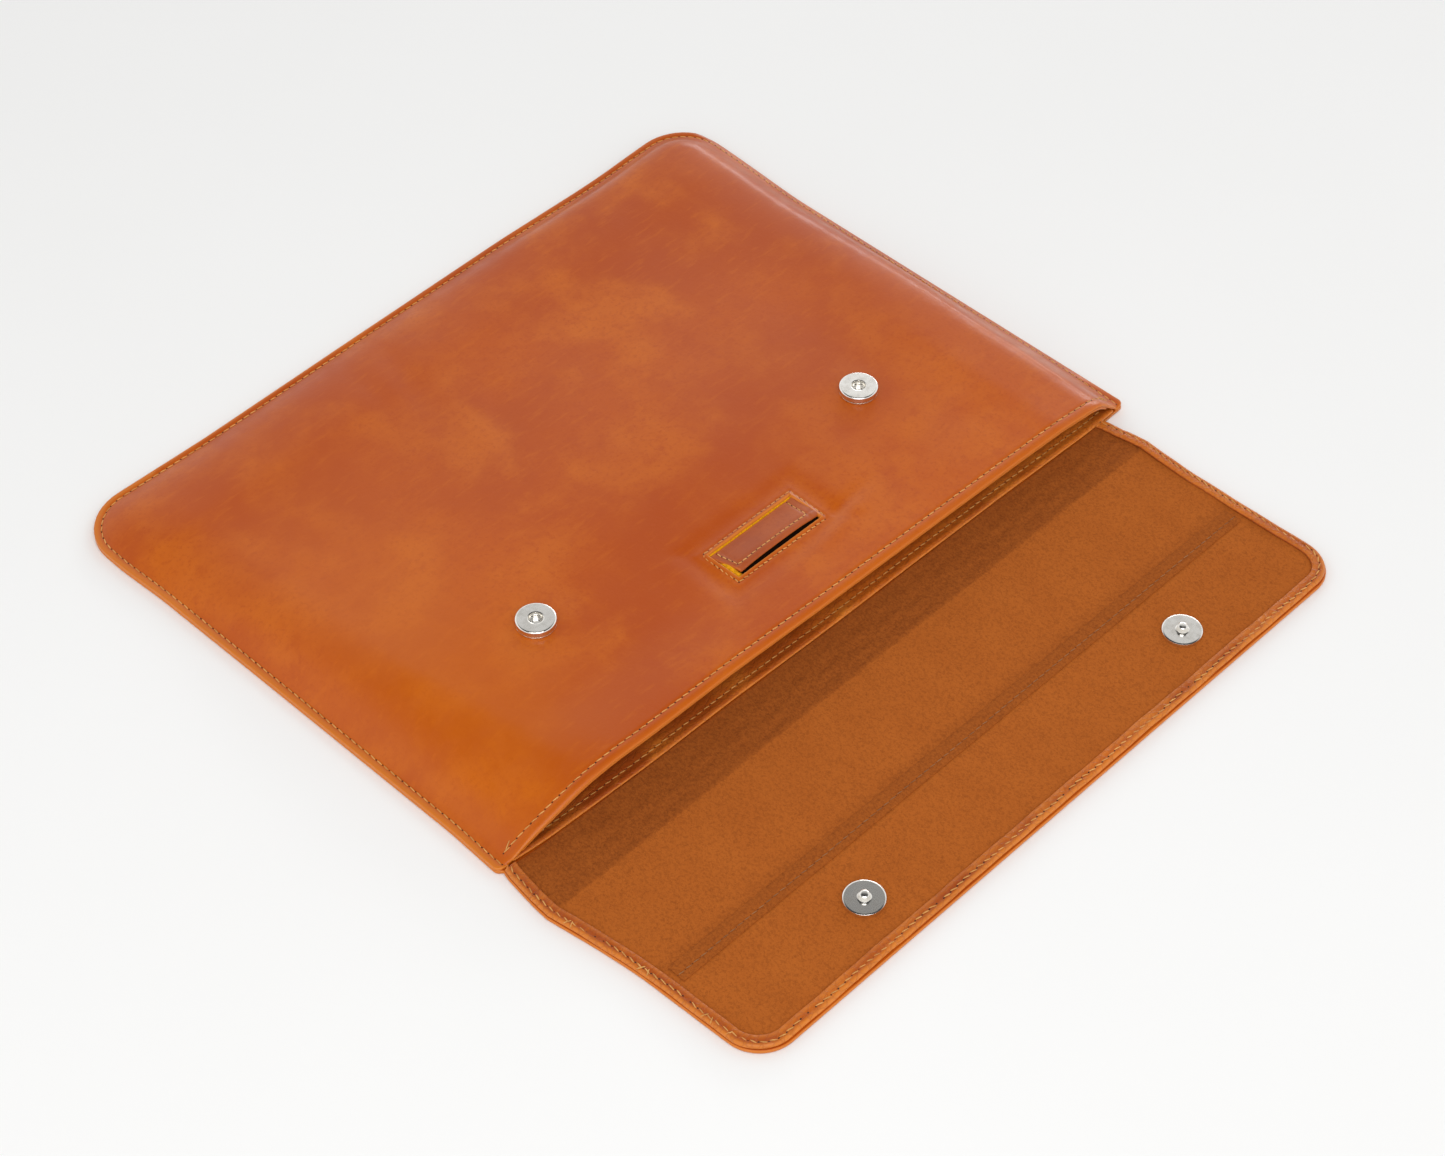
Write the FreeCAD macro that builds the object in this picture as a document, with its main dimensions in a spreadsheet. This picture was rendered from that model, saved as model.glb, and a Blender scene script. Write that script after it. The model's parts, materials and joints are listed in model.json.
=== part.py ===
"""Leather laptop sleeve with a fold-over flap, lying on its back with the flap opened out.

Millimetres, +Z up.  X runs along the mouth, +Y points from the mouth to the closed edge
and the flap lies on the -Y side.  The origin is the centre of the whole footprint, on the
surface that the sleeve lies on.  Every sub-part is built with y = 0 at its own leaf's edge
and then placed, so that the mouth, the two fold lines and the closed edge are the only
places where the leaves are tied together.
"""
import FreeCAD, Part
import os
import Sketcher

DIMENSIONS = [
    # the pocket, seen from above
    ("body_width", 390.0, "overall width of the front and back panels"),
    ("body_depth", 293.0, "mouth to closed edge"),
    ("closed_corner_radius", 26.0, "the two corners of the closed edge"),
    ("mouth_corner_radius", 5.0, "the two corners at the mouth"),
    ("seam_width", 6.0, "flat sewn margin of the front panel"),
    ("side_run", 13.0, "width of the front panel's slope at each side"),
    ("end_run", 26.0, "width of the front panel's slope at the closed edge"),
    ("crest_radius", 7.0, "rounding where the slopes meet the flat top"),
    # thicknesses
    ("leather", 1.8, "outer leather"),
    ("lining", 1.0, "suede lining"),
    ("lining_clearance", 0.3, "edge of the linings to the slopes"),
    ("facing", 1.4, "leather facing strip inside the mouth"),
    ("facing_depth", 20.0, "depth of both facing strips"),
    ("pocket_height", 12.6, "clear height between the two facings"),
    # the flap and its spine
    ("flap_length", 110.0, "second fold line to the free edge"),
    ("flap_mouth_width", 374.0, "width where the spine leaves the mouth"),
    ("flap_crease_width", 382.0, "width at the second fold line"),
    ("flap_tip_width", 372.0, "width at the free edge"),
    ("flap_corner_radius", 18.0, "the flap's two free corners"),
    ("border_width", 7.0, "turned leather border on the flap"),
    ("border_thickness", 1.2, "height of the border above the suede"),
    ("tape_from_crease", 57.0, "second fold line to the middle of the joining tape"),
    ("tape_width", 9.0, "tape that joins the two pieces of flap lining"),
    ("tape_thickness", 0.5, "joining tape"),
    ("fold_gap", 0.5, "mouth edge to the spine's border when the spine stands up"),
    ("fold_lift", 0.3, "fold axes above the suede"),
    ("leaf_gap", 0.3, "each leaf's edge to the fold axis beside it"),
    # thread
    ("thread_width", 0.7, "visible width of the thread"),
    ("thread_height", 0.4, "height of the thread above the leather"),
    ("seam_stitch_inset", 3.4, "seam stitching from the panel's edge"),
    ("mouth_stitch_inset", 5.6, "mouth stitching from the lip"),
    ("border_stitch_inset", 3.0, "border stitching from the flap's edge"),
    ("stitch_end", 3.0, "bare leather beyond the end of a row"),
    # magnetic snaps
    ("snap_spacing", 202.0, "between the two snaps"),
    ("snap_from_mouth", 85.0, "first fold axis to the sockets"),
    ("snap_diameter", 18.0, "sockets, studs and their plates"),
    ("socket_height", 4.0, "socket above the leather"),
    ("socket_hole", 6.4, "hole in the socket's face"),
    ("cap_wall", 0.5, "pressed socket cap"),
    ("base_thickness", 0.8, "socket base plate"),
    ("magnet_clearance", 0.25, "round the ring magnet, inside the cap"),
    ("stud_height", 2.0, "stud disc above the suede"),
    ("nub_diameter", 5.2, "root of the stud's nub"),
    ("nub_tip_diameter", 4.2, "tip of the stud's nub"),
    ("nub_height", 2.8, "nub above the stud disc"),
    ("snap_clearance", 0.3, "stud disc to socket with the flap closed"),
    ("washer_diameter", 16.0, "backing washers"),
    ("washer_thickness", 0.5, "backing washers"),
    ("prong_spacing", 8.0, "between the two prongs of one snap"),
    ("prong_width", 3.2, "prong, across the sleeve's depth"),
    ("prong_thickness", 0.5, "prong sheet"),
    ("prong_foot", 3.0, "length of the bent end under the washer"),
    ("prong_clearance", 0.15, "round a prong in its slot"),
    ("recess_clearance", 0.8, "round a washer in its recess"),
    # keeper: a leather patch that bridges a window in the front panel
    ("keeper_shift", 5.0, "keeper's middle from the sleeve's middle"),
    ("keeper_from_mouth", 50.0, "mouth edge to the keeper's middle"),
    ("window_length", 53.0, "window along the mouth"),
    ("window_width", 20.5, "window across"),
    ("window_stitch_gap", 1.6, "window edge to its stitching"),
    ("backing_margin", 5.0, "backing beyond the window"),
    ("backing_thickness", 0.8, "backing under the window"),
    ("patch_gap", 1.4, "window edge to the patch"),
    ("patch_thickness", 2.0, "folded double leather"),
    ("patch_foot", 3.0, "end of the patch that stands on the backing"),
    ("slot_height", 1.2, "tuck slot under the patch"),
    ("patch_stitch_inset", 3.0, "patch edge to its stitching"),
    ("backing_clearance", 0.5, "round the backing in the front lining"),
]

# heights of the leaves above the surface, as sheet expressions
BACK_TOP = "dims.leather"
FRONT_TOP = "(2 * dims.leather + 2 * dims.facing + dims.pocket_height)"
FRONT_UNDER = f"({FRONT_TOP} - dims.leather)"
DOME = f"({FRONT_TOP} - {BACK_TOP})"
RISE = f"({DOME} - dims.leather)"
FLAP_TOP = "(dims.leather + dims.lining)"
FOLD_Z = f"({FLAP_TOP} + dims.fold_lift)"
BORDER_PROUD = "(dims.border_thickness + dims.thread_height - dims.fold_lift)"
BORDER_GAP = f"({BORDER_PROUD} + dims.leaf_gap)"
MOUTH_GAP = f"({BORDER_PROUD} + dims.fold_gap)"

# the closed flap rests its studs on the sockets, which sets the spine between the folds
CLOSED_FACE = f"({FRONT_TOP} + dims.socket_height + dims.snap_clearance + dims.stud_height)"
SPINE = f"({CLOSED_FACE} - {FOLD_Z} - dims.fold_lift)"

# places along Y
OVERALL = f"(dims.body_depth + {MOUTH_GAP} + {SPINE} + dims.flap_length)"
MOUTH_Y = f"({OVERALL} / 2 - dims.body_depth)"
FOLD_Y = f"({MOUTH_Y} - {MOUTH_GAP})"
CREASE_Y = f"({FOLD_Y} - {SPINE})"

SOCKET_Y = f"(dims.snap_from_mouth - {MOUTH_GAP})"

HALF_BODY = "(dims.body_width / 2)"
SIDE_SHIFT = f"(dims.leather * sqrt(dims.side_run ^ 2 + {RISE} ^ 2) / {RISE})"
END_SHIFT = f"(dims.leather * sqrt(dims.end_run ^ 2 + {RISE} ^ 2) / {RISE})"
TOP_HALF = f"({HALF_BODY} - dims.seam_width - dims.side_run)"
TOP_END = "(dims.body_depth - dims.seam_width - dims.end_run)"
SLOPE_STEP = f"(dims.leather / {RISE})"
INNER_TOP_HALF = f"({TOP_HALF} + dims.side_run * {SLOPE_STEP} - {SIDE_SHIFT})"
INNER_TOP_END = f"({TOP_END} + dims.end_run * {SLOPE_STEP} - {END_SHIFT})"
INNER_BASE_HALF = (f"({HALF_BODY} - dims.seam_width"
                   f" + dims.side_run * {SLOPE_STEP} - {SIDE_SHIFT})")
INNER_BASE_END = (f"(dims.body_depth - dims.seam_width"
                  f" + dims.end_run * {SLOPE_STEP} - {END_SHIFT})")
TOP_CORNER = "(dims.closed_corner_radius - dims.seam_width)"
WASHER_ROOM = "(dims.washer_diameter + dims.recess_clearance)"
SIDE_SIGN = {"left": "-1", "right": "1"}

# two points closer than this are the same point
SAME_POINT = 1e-4

doc = FreeCAD.newDocument("laptop_sleeve")
sheet = doc.addObject("Spreadsheet::Sheet", "dims")
for row, (alias, size, note) in enumerate(DIMENSIONS, start=1):
    sheet.set(f"A{row}", alias)
    sheet.set(f"B{row}", str(size))
    sheet.set(f"C{row}", note)
    sheet.setAlias(f"B{row}", alias)
doc.recompute()

subparts = []


def number(expression):
    """The value that a sheet expression has now."""
    result = sheet.evalExpression(expression)
    return float(getattr(result, "Value", result))


def new_body(name, y="0", z="0", x="0"):
    """An empty PartDesign body, placed by expressions."""
    body = doc.addObject("PartDesign::Body", name)
    body.Label = name
    body.setExpression("Placement.Base.x", x)
    body.setExpression("Placement.Base.y", y)
    body.setExpression("Placement.Base.z", z)
    subparts.append(body)
    return body


def new_sketch(body, name, height="0", plane="XY_Plane"):
    """A sketch on one of the body's own planes, lifted by height."""
    sketch = body.newObject("Sketcher::SketchObject", f"{body.Name}_{name}")
    support = next(f for f in body.Origin.OriginFeatures if f.Role == plane)
    sketch.AttachmentSupport = (support, [""])
    sketch.MapMode = "FlatFace"
    sketch.setExpression("AttachmentOffset.Base.z", height)
    return sketch


def pin_point(sketch, geometry, end, x, y):
    """Tie one end of a sketch curve to the sheet."""
    for kind, expression in (("DistanceX", x), ("DistanceY", y)):
        if expression is None:
            continue
        index = sketch.addConstraint(
            Sketcher.Constraint(kind, -1, 1, geometry, end, number(expression)))
        name = f"{kind[-1].lower()}_{geometry}_{end}"
        sketch.renameConstraint(index, name)
        sketch.setExpression(f"Constraints.{name}", expression)


def add_polygon(sketch, corners):
    """A closed polygon whose corners are pairs of sheet expressions."""
    places = [FreeCAD.Vector(number(x), number(y), 0) for x, y in corners]
    first = sketch.GeometryCount
    count = len(corners)
    for i in range(count):
        sketch.addGeometry(Part.LineSegment(places[i], places[(i + 1) % count]))
    for i in range(count):
        following = first + (i + 1) % count
        sketch.addConstraint(Sketcher.Constraint("Coincident", first + i, 2, following, 1))
    for i, (x, y) in enumerate(corners):
        pin_point(sketch, first + i, 1, x, y)


def add_rectangle(sketch, x0, x1, y0, y1):
    add_polygon(sketch, [(x0, y0), (x1, y0), (x1, y1), (x0, y1)])


def add_circle(sketch, diameter, x="0", y="0"):
    """A circle whose centre and diameter are sheet expressions."""
    centre = FreeCAD.Vector(number(x), number(y), 0)
    index = sketch.addGeometry(
        Part.Circle(centre, FreeCAD.Vector(0, 0, 1), number(diameter) / 2))
    pin_point(sketch, index, 3, x, y)
    ring = sketch.addConstraint(Sketcher.Constraint("Diameter", index, number(diameter)))
    name = f"diameter_{index}"
    sketch.renameConstraint(ring, name)
    sketch.setExpression(f"Constraints.{name}", diameter)


def add_round_ended(sketch, half, y0, y1, radius):
    """A rectangle from y0 to y1 whose two corners at y1 are rounded."""
    inner = f"({half} - {radius})"
    shoulder = f"({y1} - {radius})"
    points = [(f"-{half}", y0), (half, y0), (half, shoulder), (inner, y1),
              (f"-{inner}", y1), (f"-{half}", shoulder)]
    places = [FreeCAD.Vector(number(x), number(y), 0) for x, y in points]
    bend = number(radius) * (1 - 0.5 ** 0.5)
    right_mid = places[2] + FreeCAD.Vector(-bend, number(radius) - bend, 0)
    left_mid = places[5] + FreeCAD.Vector(bend, number(radius) - bend, 0)
    curves = [
        Part.LineSegment(places[0], places[1]),
        Part.LineSegment(places[1], places[2]),
        Part.Arc(places[2], right_mid, places[3]),
        Part.LineSegment(places[3], places[4]),
        Part.Arc(places[4], left_mid, places[5]),
        Part.LineSegment(places[5], places[0]),
    ]
    for curve in curves:
        sketch.addGeometry(curve)
    count = len(curves)
    for i in range(count):
        sketch.addConstraint(Sketcher.Constraint("Coincident", i, 2, (i + 1) % count, 1))
    for i, (x, y) in enumerate(points):
        pin_point(sketch, i, 1, x, y)
    pin_point(sketch, 2, 3, inner, None)
    pin_point(sketch, 4, 3, f"-{inner}", None)


def pad(body, sketch, length, downwards=False):
    feature = body.newObject("PartDesign::Pad", f"{sketch.Name}_pad")
    feature.Profile = sketch
    feature.Reversed = downwards
    feature.setExpression("Length", length)
    doc.recompute()
    return feature


def cut(body, sketch, depth=None):
    """Cut the sketch downwards by depth, or right through the body both ways."""
    before = body.Shape.Volume
    feature = body.newObject("PartDesign::Pocket", f"{sketch.Name}_cut")
    feature.Profile = sketch
    if depth is None:
        feature.Type = "ThroughAll"
        feature.Midplane = True
    else:
        feature.setExpression("Length", depth)
    doc.recompute()
    if not body.Shape.Volume < before:
        raise RuntimeError(f"{feature.Name} removed nothing")


def loft(body, kind, name, low, high):
    feature = body.newObject(f"PartDesign::{kind}", f"{body.Name}_{name}")
    feature.Profile = low
    feature.Sections = [high]
    feature.Ruled = True
    doc.recompute()
    return feature


def upright_edges(shape, corners):
    """Names of the vertical edges that stand on the given corners."""
    names = []
    for index, edge in enumerate(shape.Edges, start=1):
        low, high = edge.Vertexes[0].Point, edge.Vertexes[-1].Point
        if abs(low.x - high.x) > SAME_POINT or abs(low.y - high.y) > SAME_POINT:
            continue
        if any(abs(low.x - x) < SAME_POINT and abs(low.y - y) < SAME_POINT for x, y in corners):
            names.append(f"Edge{index}")
    return names


def round_corners(body, feature, corners, radius):
    """Round the vertical edges that stand on corners (pairs of expressions)."""
    places = [(number(x), number(y)) for x, y in corners]
    names = upright_edges(feature.Shape, places)
    if len(names) != len(corners):
        raise RuntimeError(f"{body.Name} has {len(names)} of {len(corners)} corners")
    fillet = body.newObject("PartDesign::Fillet", f"{body.Name}_round_{len(body.Group)}")
    fillet.Base = (feature, names)
    fillet.setExpression("Radius", radius)
    doc.recompute()
    return fillet


def plate(name, corners, thickness, y, z, rounded=(), x="0"):
    """A flat leaf; rounded lists (corner numbers, radius)."""
    body = new_body(name, y, z, x)
    sketch = new_sketch(body, "outline")
    add_polygon(sketch, corners)
    feature = pad(body, sketch, thickness)
    for numbers, radius in rounded:
        feature = round_corners(body, feature, [corners[i] for i in numbers], radius)
    return body


def rectangle_corners(half, y0, y1):
    return [(f"-{half}", y0), (half, y0), (half, y1), (f"-{half}", y1)]


def open_band(name, near_half, far_half, length, inset, width, start, radius, thickness, y, z):
    """A U-shaped strip that follows three edges of a leaf and is open at the fold.

    length is signed: the leaf runs from 0 to length.  inset is the leaf's edge to the
    strip's outer edge.
    """
    sign = "1" if number(length) > 0 else "-1"
    near, far = f"({near_half} - {inset})", f"({far_half} - {inset})"
    end = f"({length} - {sign} * {inset})"
    end_inner = f"({end} - {sign} * {width})"
    first = f"({sign} * {start})"
    corners = [(f"-{near}", first), (f"-{far}", end), (far, end), (near, first),
               (f"({near} - {width})", first), (f"({far} - {width})", end_inner),
               (f"-({far} - {width})", end_inner), (f"-({near} - {width})", first)]
    outer = f"({radius} - {inset})"
    inner = f"({outer} - {width})"
    return plate(name, corners, thickness, y, z,
                 [((1, 2), outer), ((5, 6), inner)])


def add_prong_slots(sketch, centre_x="0", centre_y="0"):
    """Two slots that clear the prongs of a snap at the given centre."""
    half_thick = "(dims.prong_thickness / 2 + dims.prong_clearance)"
    half_wide = "(dims.prong_width / 2 + dims.prong_clearance)"
    for sign in SIDE_SIGN.values():
        middle = f"({centre_x} + {sign} * dims.prong_spacing / 2)"
        add_rectangle(sketch, f"({middle} - {half_thick})", f"({middle} + {half_thick})",
                      f"({centre_y} - {half_wide})", f"({centre_y} + {half_wide})")


def washer(name, x, y, z):
    """Backing washer with two slots for the prongs."""
    body = new_body(name, y, z, x)
    disc = new_sketch(body, "disc")
    add_circle(disc, "dims.washer_diameter")
    pad(body, disc, "dims.washer_thickness")
    slots = new_sketch(body, "slots")
    add_prong_slots(slots)
    cut(body, slots)


def add_prongs(body, reach):
    """Two bent legs under a plate: straight down by reach, then outwards."""
    leg_x = "(dims.prong_spacing / 2 - dims.prong_thickness / 2)"
    legs_end = f"({reach} + dims.prong_thickness)"
    for side, sign in SIDE_SIGN.items():
        inner = f"({sign} * {leg_x})"
        outer = f"({sign} * ({leg_x} + dims.prong_thickness))"
        tip = f"({sign} * ({leg_x} + dims.prong_foot))"
        leg = new_sketch(body, f"{side}_leg")
        add_rectangle(leg, inner, outer, "-dims.prong_width / 2", "dims.prong_width / 2")
        pad(body, leg, legs_end, downwards=True)
        foot = new_sketch(body, f"{side}_foot", f"-{reach}")
        add_rectangle(foot, inner, tip, "-dims.prong_width / 2", "dims.prong_width / 2")
        pad(body, foot, "dims.prong_thickness", downwards=True)


def make_back():
    """Back panel, its suede lining and the leather facing inside the mouth."""
    whole = rectangle_corners(HALF_BODY, "0", "dims.body_depth")
    plate("back_panel", whole, "dims.leather", MOUTH_Y, "0",
          [((2, 3), "dims.closed_corner_radius"), ((0, 1), "dims.mouth_corner_radius")])
    half = f"({INNER_BASE_HALF} - dims.side_run * dims.facing / {RISE} - dims.lining_clearance)"
    end = f"({INNER_BASE_END} - dims.end_run * dims.lining / {RISE} - dims.lining_clearance)"
    plate("back_lining", rectangle_corners(half, "dims.facing_depth", end), "dims.lining",
          MOUTH_Y, BACK_TOP, [((2, 3), TOP_CORNER)])
    plate("back_mouth_facing", rectangle_corners(half, "0", "dims.facing_depth"),
          "dims.facing", MOUTH_Y, BACK_TOP)
    row = rectangle_corners(f"({half} - dims.stitch_end)", "dims.mouth_stitch_inset",
                            "(dims.mouth_stitch_inset + dims.thread_width)")
    plate("back_mouth_stitching", row, "dims.thread_height", MOUTH_Y,
          f"({BACK_TOP} + dims.facing)")


def add_window(sketch, margin):
    """The keeper's rectangle, grown by margin, in a leaf whose mouth edge is y = 0."""
    half_x = f"(dims.window_length / 2 + {margin})"
    half_y = f"(dims.window_width / 2 + {margin})"
    add_rectangle(sketch, f"(dims.keeper_shift - {half_x})", f"(dims.keeper_shift + {half_x})",
                  f"(dims.keeper_from_mouth - {half_y})",
                  f"(dims.keeper_from_mouth + {half_y})")


def make_front_panel():
    """Front panel: a sewn margin, three slopes and a flat top, open at the mouth."""
    body = new_body("front_panel", MOUTH_Y, BACK_TOP)
    margin = new_sketch(body, "margin")
    add_round_ended(margin, HALF_BODY, "0", "dims.body_depth", "dims.closed_corner_radius")
    pad(body, margin, "dims.leather")
    foot = new_sketch(body, "slope_foot", "dims.leather")
    add_round_ended(foot, f"({HALF_BODY} - dims.seam_width)", "0",
                    "(dims.body_depth - dims.seam_width)", TOP_CORNER)
    crest = new_sketch(body, "crest", DOME)
    add_round_ended(crest, TOP_HALF, "0", TOP_END, TOP_CORNER)
    outside = loft(body, "AdditiveLoft", "outside", foot, crest)
    height = number(DOME)
    rim = [f"Edge{i}" for i, edge in enumerate(outside.Shape.Edges, start=1)
           if all(abs(v.Z - height) < SAME_POINT for v in edge.Vertexes)
           and edge.BoundBox.YMax > SAME_POINT]
    crest_round = body.newObject("PartDesign::Fillet", "front_panel_crest_round")
    crest_round.Base = (outside, rim)
    crest_round.setExpression("Radius", "dims.crest_radius")
    doc.recompute()
    floor = new_sketch(body, "hollow_foot")
    add_round_ended(floor, INNER_BASE_HALF, "-dims.seam_width", INNER_BASE_END, TOP_CORNER)
    ceiling = new_sketch(body, "hollow_top", RISE)
    add_round_ended(ceiling, INNER_TOP_HALF, "-dims.seam_width", INNER_TOP_END, TOP_CORNER)
    loft(body, "SubtractiveLoft", "hollow", floor, ceiling)
    window = new_sketch(body, "keeper_window")
    add_window(window, "0")
    cut(body, window)
    slots = new_sketch(body, "snap_slots")
    for sign in SIDE_SIGN.values():
        add_prong_slots(slots, f"{sign} * dims.snap_spacing / 2", SOCKET_Y)
    cut(body, slots)


def make_front_lining():
    """Suede under the front panel's flat top, its facing and the mouth stitching."""
    half = f"({INNER_TOP_HALF} - dims.lining_clearance)"
    end = f"({INNER_TOP_END} - dims.lining_clearance)"
    lining = plate("front_lining", rectangle_corners(half, "dims.facing_depth", end),
                   "dims.lining", MOUTH_Y, f"({FRONT_UNDER} - dims.lining)",
                   [((2, 3), TOP_CORNER)])
    window = new_sketch(lining, "backing_room")
    add_window(window, "(dims.backing_margin + dims.backing_clearance)")
    cut(lining, window)
    holes = new_sketch(lining, "washer_room")
    for sign in SIDE_SIGN.values():
        add_circle(holes, WASHER_ROOM, f"{sign} * dims.snap_spacing / 2", SOCKET_Y)
    cut(lining, holes)
    plate("front_mouth_facing", rectangle_corners(half, "0", "dims.facing_depth"),
          "dims.facing", MOUTH_Y, f"({FRONT_UNDER} - dims.facing)")
    row = rectangle_corners(f"({TOP_HALF} - dims.stitch_end)", "dims.mouth_stitch_inset",
                            "(dims.mouth_stitch_inset + dims.thread_width)")
    plate("front_mouth_stitching", row, "dims.thread_height", MOUTH_Y, FRONT_TOP)


def frame_row(name, half_x, half_y, x, y, z):
    """A closed rectangle of thread."""
    body = new_body(name, y, z, x)
    sketch = new_sketch(body, "row")
    wide = "dims.thread_width"
    add_rectangle(sketch, f"-{half_x}", half_x, f"-{half_y}", half_y)
    add_rectangle(sketch, f"-({half_x} - {wide})", f"({half_x} - {wide})",
                  f"-({half_y} - {wide})", f"({half_y} - {wide})")
    pad(body, sketch, "dims.thread_height")


def make_keeper():
    """Backing under the window, the patch that bridges it and both rows of thread."""
    x = "dims.keeper_shift"
    y = f"({MOUTH_Y} + dims.keeper_from_mouth)"
    half_x = "(dims.window_length / 2 + dims.backing_margin)"
    half_y = "(dims.window_width / 2 + dims.backing_margin)"
    plate("keeper_backing", rectangle_corners(half_x, f"-{half_y}", half_y),
          "dims.backing_thickness", y, f"({FRONT_UNDER} - dims.backing_thickness)", x=x)

    patch = new_body("keeper_patch", y, FRONT_UNDER, x)
    side = new_sketch(patch, "side", "dims.window_width / 2 - dims.patch_gap", "XZ_Plane")
    outer = "(dims.window_length / 2 - dims.patch_gap)"
    inner = f"({outer} - dims.patch_foot)"
    top = "(dims.slot_height + dims.patch_thickness)"
    add_polygon(side, [(f"-{outer}", "0"), (f"-{inner}", "0"), (f"-{inner}", "dims.slot_height"),
                       (inner, "dims.slot_height"), (inner, "0"), (outer, "0"),
                       (outer, top), (f"-{outer}", top)])
    pad(patch, side, "dims.window_width - 2 * dims.patch_gap", downwards=True)

    frame_row("keeper_window_stitching", "(dims.window_length / 2 + dims.window_stitch_gap)",
              "(dims.window_width / 2 + dims.window_stitch_gap)", x, y, FRONT_TOP)
    inset = "(dims.patch_gap + dims.patch_stitch_inset)"
    frame_row("keeper_patch_stitching", f"(dims.window_length / 2 - {inset})",
              f"(dims.window_width / 2 - {inset})", x, y, f"({FRONT_UNDER} + {top})")


def make_socket(side):
    """Socket half of a magnetic snap, on the front panel."""
    x = f"({SIDE_SIGN[side]} * dims.snap_spacing / 2)"
    y = f"({MOUTH_Y} + {SOCKET_Y})"

    base = new_body(f"{side}_socket_base", y, FRONT_TOP, x)
    disc = new_sketch(base, "disc")
    add_circle(disc, "dims.snap_diameter")
    pad(base, disc, "dims.base_thickness")
    add_prongs(base, "(dims.leather + dims.washer_thickness)")

    cap_height = "(dims.socket_height - dims.base_thickness)"
    cap = new_body(f"{side}_socket_cap", y, f"({FRONT_TOP} + dims.base_thickness)", x)
    shell = new_sketch(cap, "shell")
    add_circle(shell, "dims.snap_diameter")
    add_circle(shell, "dims.socket_hole")
    pad(cap, shell, cap_height)
    room = new_sketch(cap, "magnet_room", f"({cap_height} - dims.cap_wall)")
    add_circle(room, "(dims.snap_diameter - 2 * dims.cap_wall)")
    add_circle(room, "(dims.socket_hole + 2 * dims.cap_wall)")
    cut(cap, room, f"({cap_height} - dims.cap_wall)")

    magnet = new_body(f"{side}_socket_magnet", y, f"({FRONT_TOP} + dims.base_thickness)", x)
    ring = new_sketch(magnet, "ring")
    gap = "(2 * dims.cap_wall + 2 * dims.magnet_clearance)"
    add_circle(ring, f"(dims.snap_diameter - {gap})")
    add_circle(ring, f"(dims.socket_hole + {gap})")
    pad(magnet, ring, f"({cap_height} - dims.cap_wall - dims.magnet_clearance)")

    washer(f"{side}_socket_washer", x, y, f"({FRONT_UNDER} - dims.washer_thickness)")


def make_stud(side):
    """Stud half of a magnetic snap, on the flap's suede."""
    x = f"({SIDE_SIGN[side]} * dims.snap_spacing / 2)"
    y = f"({CREASE_Y} - dims.snap_from_mouth)"
    stud = new_body(f"{side}_stud", y, FLAP_TOP, x)
    disc = new_sketch(stud, "disc")
    add_circle(disc, "dims.snap_diameter")
    pad(stud, disc, "dims.stud_height")
    root = new_sketch(stud, "nub_root", "dims.stud_height")
    add_circle(root, "dims.nub_diameter")
    tip = new_sketch(stud, "nub_tip", "dims.stud_height + dims.nub_height")
    add_circle(tip, "dims.nub_tip_diameter")
    loft(stud, "AdditiveLoft", "nub", root, tip)
    add_prongs(stud, "(dims.lining + dims.washer_thickness)")
    washer(f"{side}_stud_washer", x, y, f"({BACK_TOP} - dims.washer_thickness)")


def make_spine():
    """The strip between the two fold lines, which stands against the mouth when closed."""
    near, far = "(dims.flap_mouth_width / 2)", "(dims.flap_crease_width / 2)"
    start, end = "-dims.leaf_gap", f"-({SPINE} - dims.leaf_gap)"
    corners = [(f"-{near}", start), (near, start), (far, end), (f"-{far}", end)]
    plate("spine_leather", corners, "dims.leather", FOLD_Y, "0")
    plate("spine_lining", corners, "dims.lining", FOLD_Y, "dims.leather")
    border_start, border_end = f"-{BORDER_GAP}", f"-({SPINE} - {BORDER_GAP})"
    wide = "dims.border_width"
    row_in = "dims.border_stitch_inset"
    row_out = "(dims.border_stitch_inset + dims.thread_width)"
    row_start = f"({border_start} - dims.stitch_end)"
    row_end = f"({border_end} + dims.stitch_end)"

    def strip(sign, outer, inner, y0, y1):
        return [(f"{sign} * ({near} - {outer})", y0), (f"{sign} * ({near} - {inner})", y0),
                (f"{sign} * ({far} - {inner})", y1), (f"{sign} * ({far} - {outer})", y1)]

    for side, sign in SIDE_SIGN.items():
        plate(f"{side}_spine_border", strip(sign, "0", wide, border_start, border_end),
              "dims.border_thickness", FOLD_Y, FLAP_TOP)
        plate(f"{side}_spine_stitching", strip(sign, row_in, row_out, row_start, row_end),
              "dims.thread_height", FOLD_Y, f"({FLAP_TOP} + dims.border_thickness)")


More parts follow.
